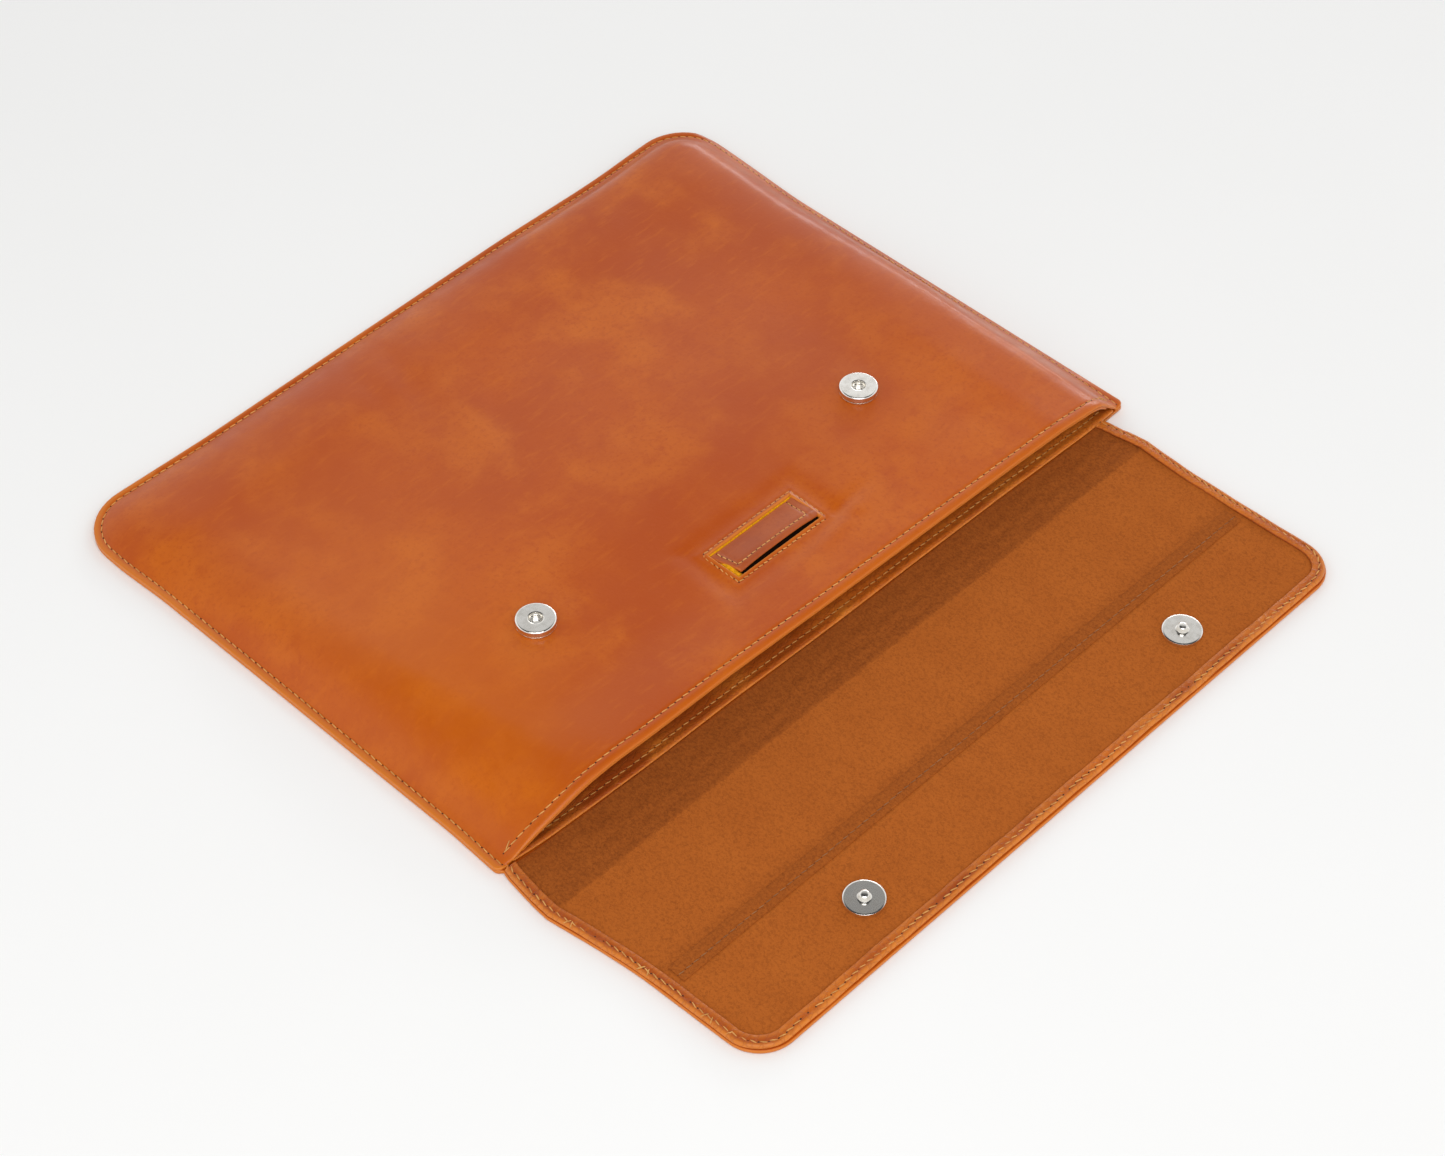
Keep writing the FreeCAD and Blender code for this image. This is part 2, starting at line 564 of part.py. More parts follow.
def make_flap():
    """Flap leather, suede, turned border, joining tape and thread."""
    near, far = "(dims.flap_crease_width / 2)", "(dims.flap_tip_width / 2)"
    start, end = "-dims.leaf_gap", "-dims.flap_length"
    corners = [(f"-{near}", start), (near, start), (far, end), (f"-{far}", end)]
    free = [((2, 3), "dims.flap_corner_radius")]
    leather = plate("flap_leather", corners, "dims.leather", CREASE_Y, "0", free)
    recess = new_sketch(leather, "washer_recess", "dims.leather")
    for sign in SIDE_SIGN.values():
        add_circle(recess, WASHER_ROOM, f"{sign} * dims.snap_spacing / 2", "-dims.snap_from_mouth")
    cut(leather, recess, "(dims.washer_thickness + dims.prong_thickness)")
    lining = plate("flap_lining", corners, "dims.lining", CREASE_Y, "dims.leather", free)
    slots = new_sketch(lining, "snap_slots")
    for sign in SIDE_SIGN.values():
        add_prong_slots(slots, f"{sign} * dims.snap_spacing / 2", "-dims.snap_from_mouth")
    cut(lining, slots)

    length = "(-dims.flap_length)"
    open_band("flap_border", near, far, length, "0", "dims.border_width", BORDER_GAP,
              "dims.flap_corner_radius", "dims.border_thickness", CREASE_Y, FLAP_TOP)
    open_band("flap_border_stitching", near, far, length, "dims.border_stitch_inset",
              "dims.thread_width", f"({BORDER_GAP} + dims.stitch_end)", "dims.flap_corner_radius",
              "dims.thread_height", CREASE_Y, f"({FLAP_TOP} + dims.border_thickness)")

    tape_half = f"({far} - dims.border_width)"
    tape_y0 = "-(dims.tape_from_crease + dims.tape_width / 2)"
    tape_y1 = "-(dims.tape_from_crease - dims.tape_width / 2)"
    plate("flap_tape", rectangle_corners(tape_half, tape_y0, tape_y1), "dims.tape_thickness",
          CREASE_Y, FLAP_TOP)
    row_y0 = "-(dims.tape_from_crease + dims.thread_width / 2)"
    row_y1 = "-(dims.tape_from_crease - dims.thread_width / 2)"
    plate("flap_tape_stitching",
          rectangle_corners(f"({tape_half} - dims.stitch_end)", row_y0, row_y1),
          "dims.thread_height", CREASE_Y, f"({FLAP_TOP} + dims.tape_thickness)")


make_back()
make_front_panel()
make_front_lining()
open_band("perimeter_stitching", HALF_BODY, HALF_BODY, "dims.body_depth",
          "dims.seam_stitch_inset", "dims.thread_width", "dims.stitch_end",
          "dims.closed_corner_radius", "dims.thread_height", MOUTH_Y,
          "(2 * dims.leather)")
make_keeper()
for side in SIDE_SIGN:
    make_socket(side)
make_spine()
make_flap()
for side in SIDE_SIGN:
    make_stud(side)
doc.recompute()

for item in doc.Objects:
    if "Invalid" in item.State or "Error" in item.State:
        raise RuntimeError(f"{item.Name}: {item.State}")
for part in subparts:
    if part.Shape.isNull() or not part.Shape.isValid() or len(part.Shape.Solids) != 1:
        raise RuntimeError(f"{part.Label} is not one valid solid")

os.makedirs("parts", exist_ok=True)
for part in subparts:
    part.Shape.exportStep(f"parts/{part.Label}.step")
print(len(subparts), "sub-parts; spine", round(number(SPINE), 2), "mouth y",
      round(number(MOUTH_Y), 2), "crease y", round(number(CREASE_Y), 2))
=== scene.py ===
"""Looks of the leather laptop sleeve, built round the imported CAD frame.

Metres, same frame as the CAD: X along the mouth, +Y towards the closed edge, the flap on
the -Y side, +Z up.  Leather and suede leaves are meshes with thickness and rounded rims,
every stitch is its own little piece of thread, and the snaps are turned profiles.
"""
import json
import math

import bpy
import numpy as np
from mathutils import Matrix, Vector


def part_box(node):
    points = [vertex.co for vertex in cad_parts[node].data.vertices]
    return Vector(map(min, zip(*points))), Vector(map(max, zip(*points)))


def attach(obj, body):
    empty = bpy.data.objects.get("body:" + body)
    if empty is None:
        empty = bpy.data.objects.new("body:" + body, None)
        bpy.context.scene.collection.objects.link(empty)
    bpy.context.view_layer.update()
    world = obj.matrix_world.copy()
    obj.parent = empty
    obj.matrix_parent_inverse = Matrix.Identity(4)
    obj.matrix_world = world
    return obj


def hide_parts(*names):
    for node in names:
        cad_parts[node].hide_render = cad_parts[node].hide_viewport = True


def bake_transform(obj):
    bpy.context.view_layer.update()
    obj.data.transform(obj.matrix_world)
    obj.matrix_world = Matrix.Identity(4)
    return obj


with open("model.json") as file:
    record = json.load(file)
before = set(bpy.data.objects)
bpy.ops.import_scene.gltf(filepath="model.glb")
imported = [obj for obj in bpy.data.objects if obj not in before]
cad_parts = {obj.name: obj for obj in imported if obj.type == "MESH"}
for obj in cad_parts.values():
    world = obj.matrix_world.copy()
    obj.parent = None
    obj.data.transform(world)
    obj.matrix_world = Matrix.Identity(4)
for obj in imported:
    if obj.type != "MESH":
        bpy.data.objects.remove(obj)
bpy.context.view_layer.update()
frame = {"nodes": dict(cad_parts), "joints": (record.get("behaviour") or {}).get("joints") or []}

MM = 0.001

# ------------------------------------------------------------------ sizes from the frame
FRONT_LO, FRONT_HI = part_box("front_panel")
HALF, MOUTH, CLOSED, TOP = FRONT_HI.x, FRONT_LO.y, FRONT_HI.y, FRONT_HI.z
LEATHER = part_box("back_panel")[1].z
SUEDE_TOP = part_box("flap_lining")[1].z
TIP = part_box("flap_leather")[0].y
FACING_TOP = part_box("back_mouth_facing")[1].z
FACING_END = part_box("back_mouth_facing")[1].y
FACING_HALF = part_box("back_mouth_facing")[1].x
FRONT_FACING_LO, FRONT_FACING_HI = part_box("front_mouth_facing")
FRONT_LINING_LO, FRONT_LINING_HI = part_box("front_lining")
BACK_LINING_LO, BACK_LINING_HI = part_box("back_lining")
JOINTS = {joint["name"]: Vector(joint["pos_m"]) for joint in frame["joints"]}
FOLD, CREASE = JOINTS["mouth_fold"].y, JOINTS["crease_fold"].y
MID_SPINE = (FOLD + CREASE) / 2
MARGIN_TOP = 2 * LEATHER
BACKING_LO, BACKING_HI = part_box("keeper_backing")
TAPE_LO, TAPE_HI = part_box("flap_tape")
SNAPS = {side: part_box(f"{side}_socket_cap") for side in ("left", "right")}
SOCKET_Y = (SNAPS["left"][0].y + SNAPS["left"][1].y) / 2
SOCKET_X = (SNAPS["right"][0].x + SNAPS["right"][1].x) / 2

# ------------------------------------------------------------------ shape of the leather
CORNER = 26 * MM            # closed corners
SEAM_INSET = 3.4 * MM       # perimeter stitches from the edge
MOUTH_INSET = 4.8 * MM      # mouth stitches from the lip
BORDER_INSET = 2.85 * MM    # border stitches from the flap's edge
FLAP_CORNER = 18 * MM
FLAP_HALVES = ((MOUTH, 187 * MM), (CREASE, 191 * MM), (TIP, 186 * MM))
WINDOW = (5 * MM, MOUTH + 50 * MM, 26.5 * MM, 10.25 * MM)   # centre x, y, half length, half width
RING_DEPTH = 22 * MM        # how far the rings round the front panel reach inwards
RIM = 0.6 * MM              # how far a leaf's rounded edge stands out
PITCH = 4.1 * MM            # one stitch
BEND = 4 * MM               # half length of the bend at the second fold

# How the sewn leather has settled away from its true outline: (place, shift) in millimetres.
# The shifts were worked out through the recovered camera from edge points read off the
# photograph, then thinned to a few places and rounded.
MOUTH_DRIFT = ((-195, 6.5), (-170, 4.5), (-110, 3), (-60, 3), (0, 2), (110, 1.5), (150, 0.5),
               (170, 0), (195, 1))
CLOSED_DRIFT = ((-195, -4.5), (-120, -4.5), (-30, -1.5), (70, 1.5), (137, 1.5), (195, 3.5))
LEFT_DRIFT = ((-80, 0.5), (-43, 1.5), (84, 0), (150, -1), (175, -2.5), (213, -2))
RIGHT_DRIFT = ((-80, -0.5), (130, -0.5), (167, 2), (186, 3), (213, 3))
FLAP_LEFT_DRIFT = ((-213, 0), (-150, 0), (-130, -1.5), (-92, -6), (-74, -5.5))
FLAP_RIGHT_DRIFT = ((-213, -4), (-160, -7), (-128, -8.5), (-74, -7.5))
LIP_LIFT = ((-195, 0), (-160, 0), (-130, 3), (-60, 3), (60, 1), (110, 0), (195, 0))
# height of the leather near the mouth's right end, read the same way: (inset, share of the rise)
RIGHT_SHOULDER = ((0, 0), (4.5, 0.02), (11, 0.4), (17, 0.73), (24, 0.88), (46, 1), (400, 1))
# long soft hollows in the top: depth, place along x and y, turn in degrees, length and width
HOLLOWS = ((1.0, -30, 178, 72, 34, 7), (0.7, -47, 190, 80, 28, 6), (0.5, -18, 120, 55, 26, 7))


def smooth(t):
    t = np.clip(t, 0, 1)
    return t * t * (3 - 2 * t)


def ease(offset, over):
    """0 up to an offset of 0, then softly up to 1 at over millimetres."""
    return smooth(offset / (over * MM))


def bell(offset, width):
    """1 where offset is 0, falling to 0 on both sides; width in millimetres."""
    return np.exp(-(offset / (width * MM)) ** 2)


def waves(x, y, terms):
    """Sum of gentle waves; each term is (height, length along x, length along y, phase)."""
    total = np.zeros_like(np.asarray(x, float))
    for height, along_x, along_y, phase in terms:
        total = total + height * np.sin(2 * math.pi * (x / along_x + y / along_y) + phase)
    return total


def dent(x, y, place, turn, length, width):
    """1 in the middle of a soft oval, falling to 0; turn is its long axis in degrees, and
    length and width are in millimetres."""
    c, s = math.cos(math.radians(turn)), math.sin(math.radians(turn))
    along = ((x - place[0]) * c + (y - place[1]) * s) / (length * MM)
    across = (-(x - place[0]) * s + (y - place[1]) * c) / (width * MM)
    return np.exp(-along ** 2 - across ** 2)


def even(value):
    """A height or shade that is the same everywhere."""
    return lambda x, y: np.full_like(x, value)


def ticks(start, end, step, fine=(), stops=()):
    """Places from start to end about step apart, closer inside each (low, high, step) of
    fine, and exactly on each of stops."""
    marks = sorted({start, end, *stops, *(v for f in fine for v in f[:2] if start < v < end)})
    places = [marks[0]]
    for low, high in zip(marks, marks[1:]):
        middle = (low + high) / 2
        spacing = min([step] + [f[2] for f in fine if f[0] <= middle <= f[1]])
        count = max(1, math.ceil((high - low) / spacing - 1e-6))
        places += [low + (high - low) * k / count for k in range(1, count + 1)]
    return places


def drift(at, knots, soft=5 * MM):
    """Value of a (place, shift) table in millimetres, its kinks smoothed over soft."""
    places, shifts = zip(*knots)
    total = sum(np.interp((at + k * soft) / MM, places, shifts) for k in (-1, -0.5, 0, 0.5, 1))
    return total / 5 * MM


# ------------------------------------------------------------------ heights
def inset_of(x, y):
    """Distance from a place on the body to its outline."""
    beyond_x, beyond_y = np.abs(x) - (HALF - CORNER), y - (CLOSED - CORNER)
    straight = np.minimum(HALF - np.abs(x), CLOSED - y)
    round_ = CORNER - np.hypot(np.maximum(beyond_x, 0), np.maximum(beyond_y, 0))
    return np.where((beyond_x > 0) & (beyond_y > 0), round_, straight)


def front_height(x, y):
    """Top of the front leather: sewn margin, slopes, and a top that sinks away from the
    mouth."""
    along = (y - MOUTH) / (CLOSED - MOUTH)
    right = smooth(x / HALF * 2)
    foot = 4.2 * MM
    inside = np.clip(inset_of(x, y) - foot, 0, None)
    side_run = (50 - 16 * smooth(along * 2.2)) * MM
    side = 1 - np.clip(1 - (HALF - np.abs(x) - foot) / side_run, 0, 1) ** 1.7
    end = 1 - np.clip(1 - (CLOSED - y - foot) / (44 * MM), 0, 1) ** 1.9
    puffy = 0.16 + 0.06 * right + 0.22 * smooth(along * 1.8) + 0.26 * right * smooth(along * 7)
    rounded = 1 - np.exp(-(inside / (6.5 * MM)) ** (1.1 + 0.5 * right))
    dome = rounded * (puffy + (1 - puffy) * side * end)
    shoulder = drift(HALF - x, RIGHT_SHOULDER, 2.0 * MM) / MM
    dome += (shoulder - dome) * ease(x - 40 * MM, 90) * smooth(1.6 - along * 3.2)
    sag = 8.0 * MM * ease(y - 12 * MM, 150)
    rise = (TOP - MARGIN_TOP - sag) * dome
    away = 1 - np.exp(-((np.hypot(np.abs(x) - SOCKET_X, y - SOCKET_Y) / (17 * MM)) ** 4))
    loose = away * dome * ease(y - MOUTH, 30)
    wander = waves(x, y, ((0.30 * MM, 0.21, 0.34, 0.4), (0.22 * MM, -0.13, 0.19, 2.1),
                          (0.10 * MM, 0.060, -0.110, 1.0)))
    for depth, place_x, place_y, turned, length, width in HOLLOWS:
        wander = wander - depth * MM * dent(x, y, (place_x * MM, place_y * MM), turned, length,
                                            width)
    crest = bell(HALF - x - 18.5 * MM, 2.0) * smooth(1.6 - along * 3.2)
    wander = wander + 0.35 * MM * crest
    lift = 1.7 * MM * ease(HALF - np.abs(x), 4) * ease(x - 114 * MM, 60)
    lift = lift * smooth(along * 6) * (inset_of(x, y) > 0)
    raised = drift(x, LIP_LIFT) * smooth(1 - (y - MOUTH) / (48 * MM))
    puckers = keeper_puckers(x, y)
    groove = 0.35 * MM * bell(inset_of(x, y) - SEAM_INSET, 0.8)
    lip_groove = 0.3 * MM * bell(y - MOUTH - MOUTH_INSET, 0.9) * dome
    turn = np.clip((MOUTH + 3.0 * MM - y) / (3.0 * MM), 0, 1)
    roll = 1.1 * MM * (1 - np.sqrt(1 - 0.96 * turn ** 2)) * (0.25 + 0.75 * dome)
    return (MARGIN_TOP + rise + loose * wander + lift + raised + puckers - groove
            - lip_groove - roll)


def keeper_puckers(x, y):
    """Leather pulled up and pinched round the keeper's window."""
    cx, cy, half_x, half_y = WINDOW
    away = np.maximum(np.abs(x - cx) - half_x, np.abs(y - cy) - half_y)
    ring = bell(away - 1.3 * MM, 0.7)
    stitched = -0.35 * MM * ring
    lip = 0.35 * MM * bell(np.clip(away, 0, None), 1.0)
    hollow = -0.7 * MM * bell(away - 6 * MM, 5)
    ridge = 0.8 * MM * dent(x, y, (cx + 30 * MM, cy - 19 * MM), 12, 16, 4)
    ridge = ridge - 0.7 * MM * dent(x, y, (cx + 34 * MM, cy - 12 * MM), 8, 17, 4)
    ridge = ridge - 0.6 * MM * dent(x, y, (cx - 34 * MM, cy - 4 * MM), 80, 14, 5)
    pinch = 0.10 * MM * ring * np.sin(2 * math.pi * (x + y) / PITCH)
    return stitched + lip + hollow + ridge + pinch


def settle(points):
    """The body as it lies: its mouth, closed edge and sides have drifted a little."""
    points = np.array(points, float)
    x, y = points[:, 0].copy(), points[:, 1].copy()
    corner = 3 * MM
    depth = np.clip(corner - (y - MOUTH), 0, corner)
    rounding = corner - np.sqrt(np.maximum(corner ** 2 - depth ** 2, 0))
    near_edge = ease(np.abs(x) - (HALF - 9 * MM), 9) * (y > MOUTH - 0.1 * MM)
    left, right = np.clip(-x / HALF, 0, 1) ** 2, np.clip(x / HALF, 0, 1) ** 2
    body = ease(y - MOUTH + 4 * MM, 4)
    points[:, 0] += (left * drift(y, LEFT_DRIFT) + right * drift(y, RIGHT_DRIFT)) * body
    points[:, 0] -= np.sign(x) * rounding * near_edge
    at_mouth = np.where(y > MOUTH, smooth(1 - (y - MOUTH) / (40 * MM)),
                        smooth(1 - (MOUTH - y) / (MOUTH - MID_SPINE)))
    points[:, 1] += drift(x, MOUTH_DRIFT) * at_mouth
    points[:, 1] += drift(x, CLOSED_DRIFT) * ease(y - MOUTH - 90 * MM, 190)
    return points


def lean(points):
    """The flap and spine as they lie, a few millimetres to the left."""
    points = settle(points)
    x, y = points[:, 0], points[:, 1]
    share = np.clip((x + 190 * MM) / (380 * MM), 0, 1)
    shift = drift(y, FLAP_LEFT_DRIFT) * (1 - share) + drift(y, FLAP_RIGHT_DRIFT) * share
    points[:, 0] += shift
    return points


def suede_height(x, y):
    """Top of the suede between the mouth and the flap's free edge."""
    spine = ease(y - CREASE, 3) * ease(FOLD - 2 * MM - y, 3)
    wrinkles = waves(x, y, ((0.12 * MM, 0.047, 0.009, 0.3), (0.10 * MM, -0.031, 0.0065, 1.9)))
    rest = waves(x, y, ((0.10 * MM, 0.09, 0.05, 0.0), (0.06 * MM, 0.035, -0.05, 1.3)))
    edge = ease(y - CREASE + 1 * MM, 1) * ease(CREASE + 4 * MM - y, 4)
    return SUEDE_TOP - 0.15 * MM + spine * wrinkles + (1 - spine) * rest + 0.2 * MM * edge


# ------------------------------------------------------------------ materials
class Nodes:
    """A node tree being built for one material."""

    def __init__(self, name):
        self.material = bpy.data.materials.new(name)
        self.material.use_nodes = True
        self.tree = self.material.node_tree
        self.shader = self.tree.nodes["Principled BSDF"]

    def add(self, kind, inputs=None, **settings):
        node = self.tree.nodes.new(kind)
        for key, value in settings.items():
            setattr(node, key, value)
        for key, value in (inputs or {}).items():
            if isinstance(value, bpy.types.NodeSocket):
                self.tree.links.new(value, node.inputs[key])
            else:
                node.inputs[key].default_value = value
        return node

    def place(self, stretch=(1, 1, 1)):
        """Where a point of the piece was at rest, stretched."""
        rest = self.add("ShaderNodeAttribute", attribute_name="rest")
        if stretch == (1, 1, 1):
            return rest.outputs["Vector"]
        return self.add("ShaderNodeMapping", {"Vector": rest.outputs["Vector"],
                                              "Scale": stretch}).outputs["Vector"]

    def own_place(self):
        """Object coordinates, for carried-over CAD pieces."""
        return self.add("ShaderNodeTexCoord").outputs["Object"]

    def painted(self, name):
        """A value from 0 to 1 that the mesh carries."""
        return self.add("ShaderNodeAttribute", attribute_name=name).outputs["Fac"]

    def noise(self, vector, scale, detail=3.0, roughness=0.55, distortion=0.0):
        return self.add("ShaderNodeTexNoise",
                        {"Vector": vector, "Scale": scale, "Detail": detail,
                         "Roughness": roughness, "Distortion": distortion}).outputs["Fac"]

    def cells(self, vector, scale, feature="F1"):
        return self.add("ShaderNodeTexVoronoi", {"Vector": vector, "Scale": scale},
                        feature=feature).outputs["Distance"]

    def ramp(self, value, low, high, bottom=0.0, top=1.0):
        return self.add("ShaderNodeMapRange",
                        {"Value": value, "From Min": low, "From Max": high,
                         "To Min": bottom, "To Max": top},
                        interpolation_type="SMOOTHSTEP").outputs["Result"]

    def sum(self, a, b, operation="ADD"):
        node = self.add("ShaderNodeMath", operation=operation)
        for socket, value in zip(node.inputs, (a, b)):
            if isinstance(value, bpy.types.NodeSocket):
                self.tree.links.new(value, socket)
            else:
                socket.default_value = value
        return node.outputs["Value"]

    def times(self, a, b):
        return self.sum(a, b, "MULTIPLY")

    def blend(self, amount, a, b):
        """Colour a where amount is 0 and b where it is 1."""
        node = self.add("ShaderNodeMix", data_type="RGBA")
        for key, value in (("Factor_Float", amount), ("A_Color", a), ("B_Color", b)):
            socket = next(s for s in node.inputs if s.identifier == key)
            if isinstance(value, bpy.types.NodeSocket):
                self.tree.links.new(value, socket)
            elif key == "Factor_Float":
                socket.default_value = value
            else:
                socket.default_value = (*value, 1)
        return next(s for s in node.outputs if s.identifier == "Result_Color")

    def bump(self, height, distance, strength=1.0, below=None):
        inputs = {"Height": height, "Distance": distance, "Strength": strength}
        if below is not None:
            inputs["Normal"] = below
        return self.add("ShaderNodeBump", inputs).outputs["Normal"]

    def finish(self, **inputs):
        for key, value in inputs.items():
            socket = self.shader.inputs[key.replace("_", " ")]
            if isinstance(value, bpy.types.NodeSocket):
                self.tree.links.new(value, socket)
            elif isinstance(value, tuple) and len(value) == 3:
                socket.default_value = (*value, 1)
            else:
                socket.default_value = value
        return self.material


def leather_material(name, light, middle, dark, rim, grain=1.0, creases=0.0, gloss=0.36):
    """Polished dyed leather: colour clouds, fine grain, burnish on the edges, painted light and
    shade.
    """
    n = Nodes(name)
    place = n.place()
    clouds = n.noise(place, 9, 3, 0.5, 0.2)
    patches = n.noise(place, 24, 4, 0.55, 0.2)
    colour = n.blend(n.ramp(clouds, 0.34, 0.68), dark, middle)
    colour = n.blend(n.times(n.ramp(patches, 0.42, 0.72), 0.8), colour, light)
    flecks = n.noise(place, 520, 3, 0.7)
    colour = n.blend(n.times(n.ramp(flecks, 0.48, 0.72), 0.6), colour, dark)
    mottling = n.noise(place, 110, 5, 0.7)
    colour = n.blend(n.times(n.ramp(mottling, 0.48, 0.70), 0.5), colour, dark)
    streaks = n.noise(n.place((0.25, 1.0, 1.0)), 300, 3, 0.6)
    colour = n.blend(n.times(n.ramp(streaks, 0.52, 0.75), 0.35), colour, light)
    # darkening from the mesh's shade values: painted shade inside the mouth and in the border's
    # groove, and darker patches on the front and below the mouth
    colour = n.blend(n.times(n.painted("shade"), 0.75), colour, dark)
    # painted light from the mesh's values
    colour = n.blend(n.painted("painted_light"), colour, light)
    colour = n.blend(n.times(n.painted("rim"), 0.85), colour, rim)
    pores = n.noise(place, 1500, 2, 0.6)
    pebbles = n.cells(place, 620)
    normal = n.bump(n.noise(place, 70, 3), 0.35 * MM, 0.35)
    normal = n.bump(pebbles, 0.10 * MM, 0.22 * grain, normal)
    normal = n.bump(pores, 0.07 * MM, 0.35 * grain, normal)
    if creases:
        wrinkles = n.noise(place, 480, 3, 0.6, 0.6)
        normal = n.bump(wrinkles, 0.6 * MM, 0.7 * creases, normal)
        folds = n.cells(n.place((1.0, 1.5, 1.0)), 240, "DISTANCE_TO_EDGE")
        lines = n.ramp(folds, 0.0, 0.10)
        normal = n.bump(lines, 0.3 * MM, 0.8 * creases, normal)
        # painted shade along the crease lines, on top of their bump
        colour = n.blend(n.times(n.sum(1.0, lines, "SUBTRACT"), 0.45 * creases), colour, dark)
    roughness = n.ramp(n.noise(place, 90, 4, 0.6), 0.3, 0.7, gloss - 0.05, gloss + 0.09)
    return n.finish(Base_Color=colour, Roughness=roughness, Normal=normal,
                    Specular_IOR_Level=0.2, Coat_Weight=0.16, Coat_Roughness=0.16)


def suede_material(name, light, dark, shadow, fuzz=0.35, shade_strength=0.4):
    """Napped suede: brushed patches, short fibres, soft sheen and painted shade."""
    n = Nodes(name)
    place = n.place()
    brushed = n.noise(n.place((1.0, 0.5, 1.0)), 60, 4, 0.65, 0.3)
    tufts = n.noise(n.place((1.0, 0.75, 1.0)), 900, 4, 0.75, 0.4)
    fibres = n.noise(place, 1500, 3, 0.75, 0.8)
    colour = n.blend(n.ramp(brushed, 0.15, 0.85, 0.3, 0.8), dark, light)
    colour = n.blend(n.times(n.ramp(tufts, 0.42, 0.66), 0.45), colour, shadow)
    colour = n.blend(n.times(n.ramp(fibres, 0.42, 0.66), 0.5), colour, light)
    # painted shade from the mesh's shade values, broken up by the nap
    patchy_shade = n.times(n.ramp(tufts, 0.32, 0.68), n.painted("shade"))
    colour = n.blend(n.times(patchy_shade, 0.45), colour, shadow)
    colour = n.blend(n.times(n.painted("shade"), shade_strength), colour, shadow)
    normal = n.bump(brushed, 0.3 * MM, 0.4)
    normal = n.bump(tufts, 0.22 * MM, 0.6, normal)
    normal = n.bump(fibres, 0.12 * MM, 0.8, normal)
    return n.finish(Base_Color=colour, Roughness=0.95, Normal=normal, Sheen_Weight=fuzz,
                    Sheen_Roughness=0.45, Sheen_Tint=light, Specular_IOR_Level=0.15)


def thread_material(name, dark, light, groove):
    n = Nodes(name)
    place = n.place()
    strands = n.add("ShaderNodeTexWave", {"Vector": place, "Scale": 900.0, "Distortion": 2.0},
                    bands_direction="DIAGONAL").outputs["Fac"]
    colour = n.blend(n.ramp(n.noise(place, 160, 3), 0.35, 0.65), dark, light)
    # painted shade in the grooves between the twisted strands
    colour = n.blend(n.times(strands, 0.35), colour, groove)
    return n.finish(Base_Color=colour, Roughness=0.62, Normal=n.bump(strands, 0.08 * MM, 0.7))


def hole_shade_material():
    # painted shade: the dark of the needle hole's recess
    n = Nodes("needle_hole_shade")
    colour = n.blend(n.noise(n.place(), 900, 2), (0.030, 0.010, 0.004), (0.090, 0.028, 0.008))
    return n.finish(Base_Color=colour, Roughness=0.9)


def metal_material(name, light, dark, roughness, own=False):
    """Plated or bare metal with faint turning marks and handling wear."""
    n = Nodes(name)
    place = n.own_place() if own else n.place()
    wear = n.noise(place, 240, 4, 0.6)
    marks = n.noise(place, 2600, 2, 0.5)
    colour = n.blend(n.ramp(wear, 0.4, 0.75), light, dark)
    rough = n.ramp(wear, 0.3, 0.7, roughness * 0.8, roughness * 1.3)
    return n.finish(Base_Color=colour, Metallic=1.0, Roughness=rough,
                    Normal=n.bump(marks, 0.02 * MM, 0.25))


def ferrite_material():
    n = Nodes("ferrite")
    place = n.own_place()
    grains = n.noise(place, 1800, 3, 0.7)
    colour = n.blend(n.ramp(grains, 0.4, 0.7), (0.030, 0.030, 0.034), (0.085, 0.085, 0.092))
    return n.finish(Base_Color=colour, Roughness=0.7, Normal=n.bump(grains, 0.05 * MM, 0.5))


ORANGE, TAN, RUST = (0.57, 0.129, 0.005), (0.49, 0.088, 0.003), (0.42, 0.064, 0.003)
EDGE = (0.66, 0.200, 0.022)
BODY_LEATHER = leather_material("body_leather", ORANGE, TAN, RUST, EDGE)
PATCH_LEATHER = leather_material("patch_leather", (0.46, 0.105, 0.022), (0.41, 0.085, 0.020),
                                 (0.33, 0.062, 0.016), (0.55, 0.130, 0.018), gloss=0.42)
BORDER_LEATHER = leather_material("border_leather", (0.70, 0.220, 0.026), (0.58, 0.140, 0.014),
                                  (0.34, 0.062, 0.008), (0.70, 0.220, 0.028), grain=1.8,
                                  creases=0.6, gloss=0.34)
SUEDE = suede_material("tan_suede", (0.47, 0.125, 0.017), (0.36, 0.085, 0.010),
                       (0.15, 0.032, 0.004), fuzz=0.12)
# its near-black shadow colour, at full strength, is the painted shadow deep in the keeper's slot
MUSTARD = suede_material("mustard_suede", (0.86, 0.400, 0.006), (0.70, 0.270, 0.004),
                         (0.012, 0.004, 0.001), fuzz=0.1, shade_strength=1.0)
THREAD = thread_material("waxed_thread", (0.58, 0.27, 0.060), (0.80, 0.43, 0.12),
                         (0.42, 0.18, 0.04))
TAPE_THREAD = thread_material("tape_thread", (0.20, 0.090, 0.030), (0.34, 0.170, 0.065),
                              (0.12, 0.050, 0.015))
HOLE_SHADE = hole_shade_material()
NICKEL = metal_material("nickel", (0.86, 0.84, 0.80), (0.74, 0.71, 0.66), 0.16)
STEEL = metal_material("steel", (0.55, 0.55, 0.56), (0.36, 0.36, 0.38), 0.38, own=True)
FERRITE = ferrite_material()


